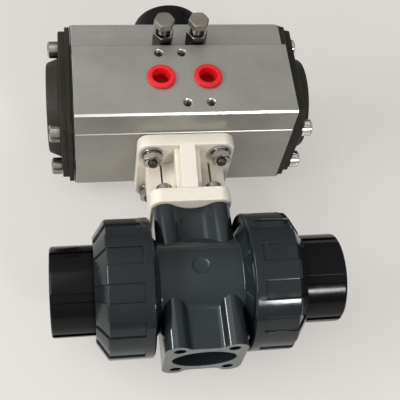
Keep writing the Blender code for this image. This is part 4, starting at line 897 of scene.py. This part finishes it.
def cap_section(inset):
    """The end caps' outline, from front to back and up from the bore's centre."""
    front = -HALF_DEPTH + inset
    back = HALF_DEPTH - inset
    half = HALF_HEIGHT - inset
    shrink = inset * (2 - sqrt(2))
    front_cut = 7.5 - shrink
    back_cut = 12.7 - shrink
    lower_cut = 9.0
    return [
        (front + lower_cut - shrink, -half), (back - back_cut, -half),
        (back, -half + back_cut), (back, half - back_cut),
        (back - back_cut, half), (front + front_cut, half),
        (front, half - front_cut), (front, -half + front_cut),
    ]


def tapped_places():
    """The tapped holes by the ports, then those in the top."""
    places = [shifted(x, PORT_FACE, z, FORWARD) for x, z in TAPPED_FRONT]
    return places + [shifted(x, y, ACTUATOR_TOP) for x, y in square_places(*TOP_HOLE_PITCHES)]


def make_actuator_body():
    pad_top, pad_foot = 9.6, -35.1
    outline = [(-24.4, -HALF_HEIGHT)] + cap_section(0.0)[1:-1]
    outline += [
        (-HALF_DEPTH, pad_top), (PORT_FACE + 0.6, pad_top), (PORT_FACE, pad_top - 0.6),
        (PORT_FACE, pad_foot + 1.1), (PORT_FACE + 1.1, pad_foot), (-25.0, pad_foot),
    ]
    body = prism("actuator_body_look", outline, -HALF_LENGTH, HALF_LENGTH)
    softened(body, 0.25, 3, angle=20.0)
    placed(body, shifted(0, 0, BORE_LEVEL, ACROSS))
    past_end = HALF_LENGTH + 1.1
    bore = turned("bore", [(26.0, past_end), (26.0, -past_end)], 96, turn=0.02)
    combined(body, placed(bore, shifted(0, 0, BORE_LEVEL, along_pipe(1))))
    foot_bore = turned("foot_bore", [(12.8, 36.0), (12.8, 0.0)], 64)
    combined(body, placed(foot_bore, shifted(0, 0, UPPER_PLATE_TOP)))
    top_bore = turned("top_bore", [(8.4, 1.0), (8.4, -36.0)], 64)
    combined(body, placed(top_bore, shifted(0, 0, ACTUATOR_TOP)))
    for side in SIDES.values():
        port = shifted(side * PORT_X, PORT_FACE, PORT_LEVEL, FORWARD)
        drilled(body, "port", 5.8, 11.0, port, flare=0.5)
        stop = shifted(side * STOP_X, -HALF_DEPTH, STOP_LEVEL, FORWARD)
        drilled(body, "stop_hole", M6_HOLE, 34.0, stop, flare=0.4)
    for where in tapped_places():
        drilled(body, "tapped", 2.2, 8.0, where, flare=0.35)
    for x, y in square_places(BRACKET_SCREW_PITCH, BRACKET_SCREW_PITCH):
        drilled(body, "bracket_hole", M6_HOLE, 9.3, shifted(x, y, ACTUATOR_FOOT, DOWNWARD))
    for side in SIDES.values():
        for y, z in square_places(*CAP_SCREW_PITCHES):
            where = shifted(side * HALF_LENGTH, y, BORE_LEVEL + z, along_pipe(side))
            drilled(body, "cap_hole", M5_HOLE, 11.3, where, flare=0.2, sides=24)
    fitted(body, EXTRUSION, "valve", ["actuator_body"], smooth=28.0)
    alike = 0.96
    above_pad = 0.06
    lower_front = Vector((0.0, -0.75, 0.66))
    upper_front = Vector((0.0, 0.707, 0.707))

    def on_pad_top(face):
        return face.normal.dot(upper_front) > alike and face.center.y < above_pad

    second_look(body, BRIGHT_EDGE, lambda face: face.normal.dot(lower_front) > alike)
    # The pad's top chamfer takes the dark metal as painted shade, a shadow line along the pad's upper edge.
    second_look(body, PAD_EDGE_SHADE, on_pad_top)


def make_tapped_threads():
    """Thread crests standing in each tapped hole."""
    outer, crest, root = 2.35, 1.95, 2.18
    pitch = 0.7
    top, bottom = -0.5, -7.0
    rings = [(outer, top)]
    level = top
    while level > bottom:
        rings += [(crest, level - 0.1), (root, level - 0.45)]
        level -= pitch
    rings += [(outer, level), (outer, top)]
    thread = turned("tapped_thread", rings, 40)
    for i, where in enumerate(tapped_places()):
        twin = copied(thread, f"tapped_thread_{i + 1}")
        fitted(twin, CUT_METAL, "valve", (), where)
    discard(thread)


def make_end_caps():
    flange_inset, face_inset = 1.1, 3.25
    flange = softened(prism("end_cap", cap_section(flange_inset), 0.0, 2.6), 0.35, 2, angle=2.0)
    face = softened(prism("cap_face", cap_section(face_inset), 1.0, CAP_FACE), 0.7, 3, angle=2.0)
    combined(flange, face, "UNION")
    foot, top = 26.8, 13.1
    dome = [
        (foot, 5.0), (foot, 6.95), (26.5, 7.3), (26.2, 7.9), (25.9, 8.6),
        (24.5, 12.0), (24.0, 12.7), (23.2, 13.05), (22.2, top), (6.0, top),
    ]
    combined(flange, turned("cap_dome", dome, 96, turn=0.02), "UNION")
    for y, z in square_places(*CAP_SCREW_PITCHES):
        where = shifted(y, z, CAP_FACE + 0.03)
        drilled(flange, "screw_hole", M5_HOLE, 8.0, where, flare=0.2, sides=32)
    for label, side in SIDES.items():
        cap = copied(flange, "end_cap_" + label + "_look")
        where = shifted(side * CAP_SEAT, 0, BORE_LEVEL, ACROSS)
        placed(cap, where @ Matrix.Diagonal((1, 1, side, 1)))
        bpy.ops.object.mode_set(mode="EDIT")
        close(cap.name)
        fitted(cap, CAP_PAINT, "valve", ["end_cap_" + label], smooth=30.0)
    discard(flange)


def make_port_plugs():
    flange, wall, inside, axis = 7.3, 5.5, 4.6, 0.3
    floor, bottom = -7.3, -8.5
    rings = [
        (axis, floor), (4.3, floor), (inside, -7.0), (inside, 1.0), (4.8, 1.45), (5.2, 1.6), (6.6, 1.6),
        (7.1, 1.4), (flange, 1.0), (flange, 0.2), (7.1, 0.0), (wall, 0.0), (wall, -8.1), (5.1, bottom),
        (axis, bottom),
    ]
    plug = turned("port_plug", rings, 64)
    seat = PORT_FACE - SEAT_GAP
    for label, side in SIDES.items():
        where = shifted(side * PORT_X, seat, PORT_LEVEL, FORWARD)
        fitted_copy(plug, "port_plug_" + label, RED, "valve", where)
    discard(plug)


def make_indicator():
    """The round cup with its rail, two pointer strips let into the rail, and the screw that holds it."""
    radius, inside, screw_way = 20.6, 5.9, 2.3
    base, floor, top, rail_top, above = 146.6, 163.1, 166.5, 168.1, 169.0
    rings = [
        (inside, base), (19.4, base), (20.3, 147.0), (radius, 147.8), (radius, 160.9), (19.8, 165.3),
        (19.5, 166.0), (18.8, top), (inside, top), (screw_way, top), (screw_way, floor), (inside, floor),
        (inside, base),
    ]
    cup = turned("position_indicator_look", rings, 96)
    rail = bar("rail", (-4.0, -16.5, top - 0.5), (4.0, 16.5, rail_top))
    combined(cup, softened(rail, 0.4, 3), "UNION")
    for side in (1, -1):
        low, high = sorted((side * 6.7, side * 8.4))
        near, far = sorted((side * -radius, side * -18.5))
        combined(cup, bar("grip_groove", (low, near, 149.0), (high, far, 161.5)))
    combined(cup, turned("screw_pocket", [(3.9, above), (3.9, 166.1)], 48))
    combined(cup, turned("screw_way", [(screw_way, above), (screw_way, 162.0)], 40))
    ends = {"front": -1, "back": 1}
    for end in ends.values():
        near, far = sorted((end * 5.8, end * 15.0))
        combined(cup, bar("pointer_pocket", (-2.4, near, rail_top - 0.8), (2.4, far, above)))
    fitted(cup, INDICATOR_BLACK, "drive", ["position_indicator"])
    for label, end in ends.items():
        near, far = sorted((end * 6.0, end * 14.8))
        low = (-2.2, near, rail_top - 0.75)
        high = (2.2, far, rail_top - 0.15)
        strip = softened(bar("pointer_strip_" + label, low, high), 0.15, 2)
        fitted(strip, POINTER_YELLOW, "drive")
    seat = 166.4
    head = turned("indicator_screw_look", [(3.6, seat), (3.6, 167.2), (3.2, 167.65), (2.0, 167.8)], 48)
    combined(head, bar("slot", (-4.0, -0.4, 167.2), (4.0, 0.4, 168.5)))
    stem = placed(shank(2.0, top=0.4, bottom=-11.6), shifted(0, 0, seat))
    screw = joined("indicator_screw_look", [head, stem])
    fitted(screw, STEEL, "drive", ["indicator_screw"])


make_valve_body()
make_ball()
for end_label, end_side in SIDES.items():
    make_union_nut(end_label, end_side)
    make_end_connector(end_label, end_side)
make_bracket()
make_bracket_screws()
make_valve_screws()
make_actuator_body()
make_tapped_threads()
make_end_caps()
make_cap_screws()
make_port_plugs()
make_stops()
make_indicator()


# Floor, light and camera


def make_floor():
    """A pale floor that keeps the shadow but shows it lightly."""
    begin()
    bpy.ops.mesh.primitive_plane_add(size=5.0)
    floor = bpy.context.object
    floor.name = "pale_floor"
    look, tree = new_finish("pale_floor_paint")
    shader = tree.nodes["Principled BSDF"]
    shader.inputs["Specular IOR Level"].default_value = 0.2
    place = place_on_piece(tree)
    paint = two_tone(tree, speckle(tree, place, 3.0), (0.685, 0.66, 0.633), (0.73, 0.705, 0.678))
    tree.links.new(paint, shader.inputs["Base Color"])
    tree.links.new(spread(tree, speckle(tree, place, 30.0), 0.5, 0.65), shader.inputs["Roughness"])
    lit = node(tree, "ShaderNodeEmission", {"Strength": 1.0})
    tree.links.new(paint, lit.inputs["Color"])
    path = node(tree, "ShaderNodeLightPath")
    seen = path.outputs["Is Camera Ray"]
    for ray in ("Is Glossy Ray", "Is Transmission Ray"):
        either = node(tree, "ShaderNodeMath", operation="MAXIMUM")
        tree.links.new(seen, either.inputs[0])
        tree.links.new(path.outputs[ray], either.inputs[1])
        seen = either.outputs["Value"]
    lit_share = 0.64
    mix = node(tree, "ShaderNodeMixShader")
    tree.links.new(ranged(tree, seen, 0.0, 1.0, 0.0, lit_share), mix.inputs["Fac"])
    tree.links.new(shader.outputs["BSDF"], mix.inputs[1])
    tree.links.new(lit.outputs["Emission"], mix.inputs[2])
    tree.links.new(mix.outputs["Shader"], tree.nodes["Material Output"].inputs["Surface"])
    floor.data.materials.append(look)


def make_panel(name, place, target, size, power, upright=(0.0, 0.0, 1.0)):
    """A lamp that faces its target, its height along the upright."""
    light = bpy.data.lights.new(name, "AREA")
    light.shape = "RECTANGLE"
    light.size, light.size_y = size
    light.energy = power
    holder = bpy.data.objects.new(name, light)
    back = (Vector(place) - Vector(target)).normalized()
    across = Vector(upright).cross(back).normalized()
    turn = Matrix((across, back.cross(across), back)).transposed().to_4x4()
    holder.matrix_world = Matrix.Translation(place) @ turn
    bpy.context.scene.collection.objects.link(holder)


def make_light():
    """A sky that is brightest high on the left, and three lamps."""
    world = bpy.data.worlds.new("studio_sky")
    bpy.context.scene.world = world
    world.use_nodes = True
    tree = world.node_tree
    coordinates = node(tree, "ShaderNodeTexCoord")
    brightest = (-0.34, -0.10, 0.935)
    lean = node(tree, "ShaderNodeVectorMath", {1: brightest}, operation="DOT_PRODUCT")
    tree.links.new(coordinates.outputs["Generated"], lean.inputs[0])
    sky = ranged(tree, lean.outputs["Value"], 0.0, 0.95, 0.20, 0.67)
    background = tree.nodes["Background"]
    tree.links.new(sky, background.inputs["Strength"])
    background.inputs["Color"].default_value = (1.0, 0.99, 0.975, 1.0)
    make_panel("overhead_panel", (-0.75, 0.1, 1.5), (0.0, 0.0, 0.03), size=(1.4, 1.4), power=6.0)
    make_panel(
        "side_tube", (-0.80, -0.135, 0.62), (0.0, -0.1, 0.05),
        size=(0.08, 0.93), power=7.5, upright=(0.0, 1.0, 0.0),
    )
    make_panel("front_window", (0.345, -0.885, 0.58), (0.035, -0.07, 0.05), size=(0.17, 0.13), power=3.6)


def make_camera():
    data = bpy.data.cameras.new("camera")
    data.sensor_width = 36.0
    data.lens = 70.75
    data.clip_start = 0.01
    data.clip_end = 20.0
    camera = bpy.data.objects.new("camera", data)
    place = (-0.05536, -0.21729, 0.38922)
    right = (0.98771, -0.10770, 0.11324)
    up = (0.03776, 0.86761, 0.49580)
    back = (-0.15164, -0.48543, 0.86102)
    turn = Matrix((right, up, back)).transposed().to_4x4()
    camera.matrix_world = Matrix.Translation(place) @ turn
    bpy.context.scene.collection.objects.link(camera)
    bpy.context.scene.camera = camera


make_floor()
make_light()
make_camera()
bpy.context.scene.view_settings.view_transform = "Standard"
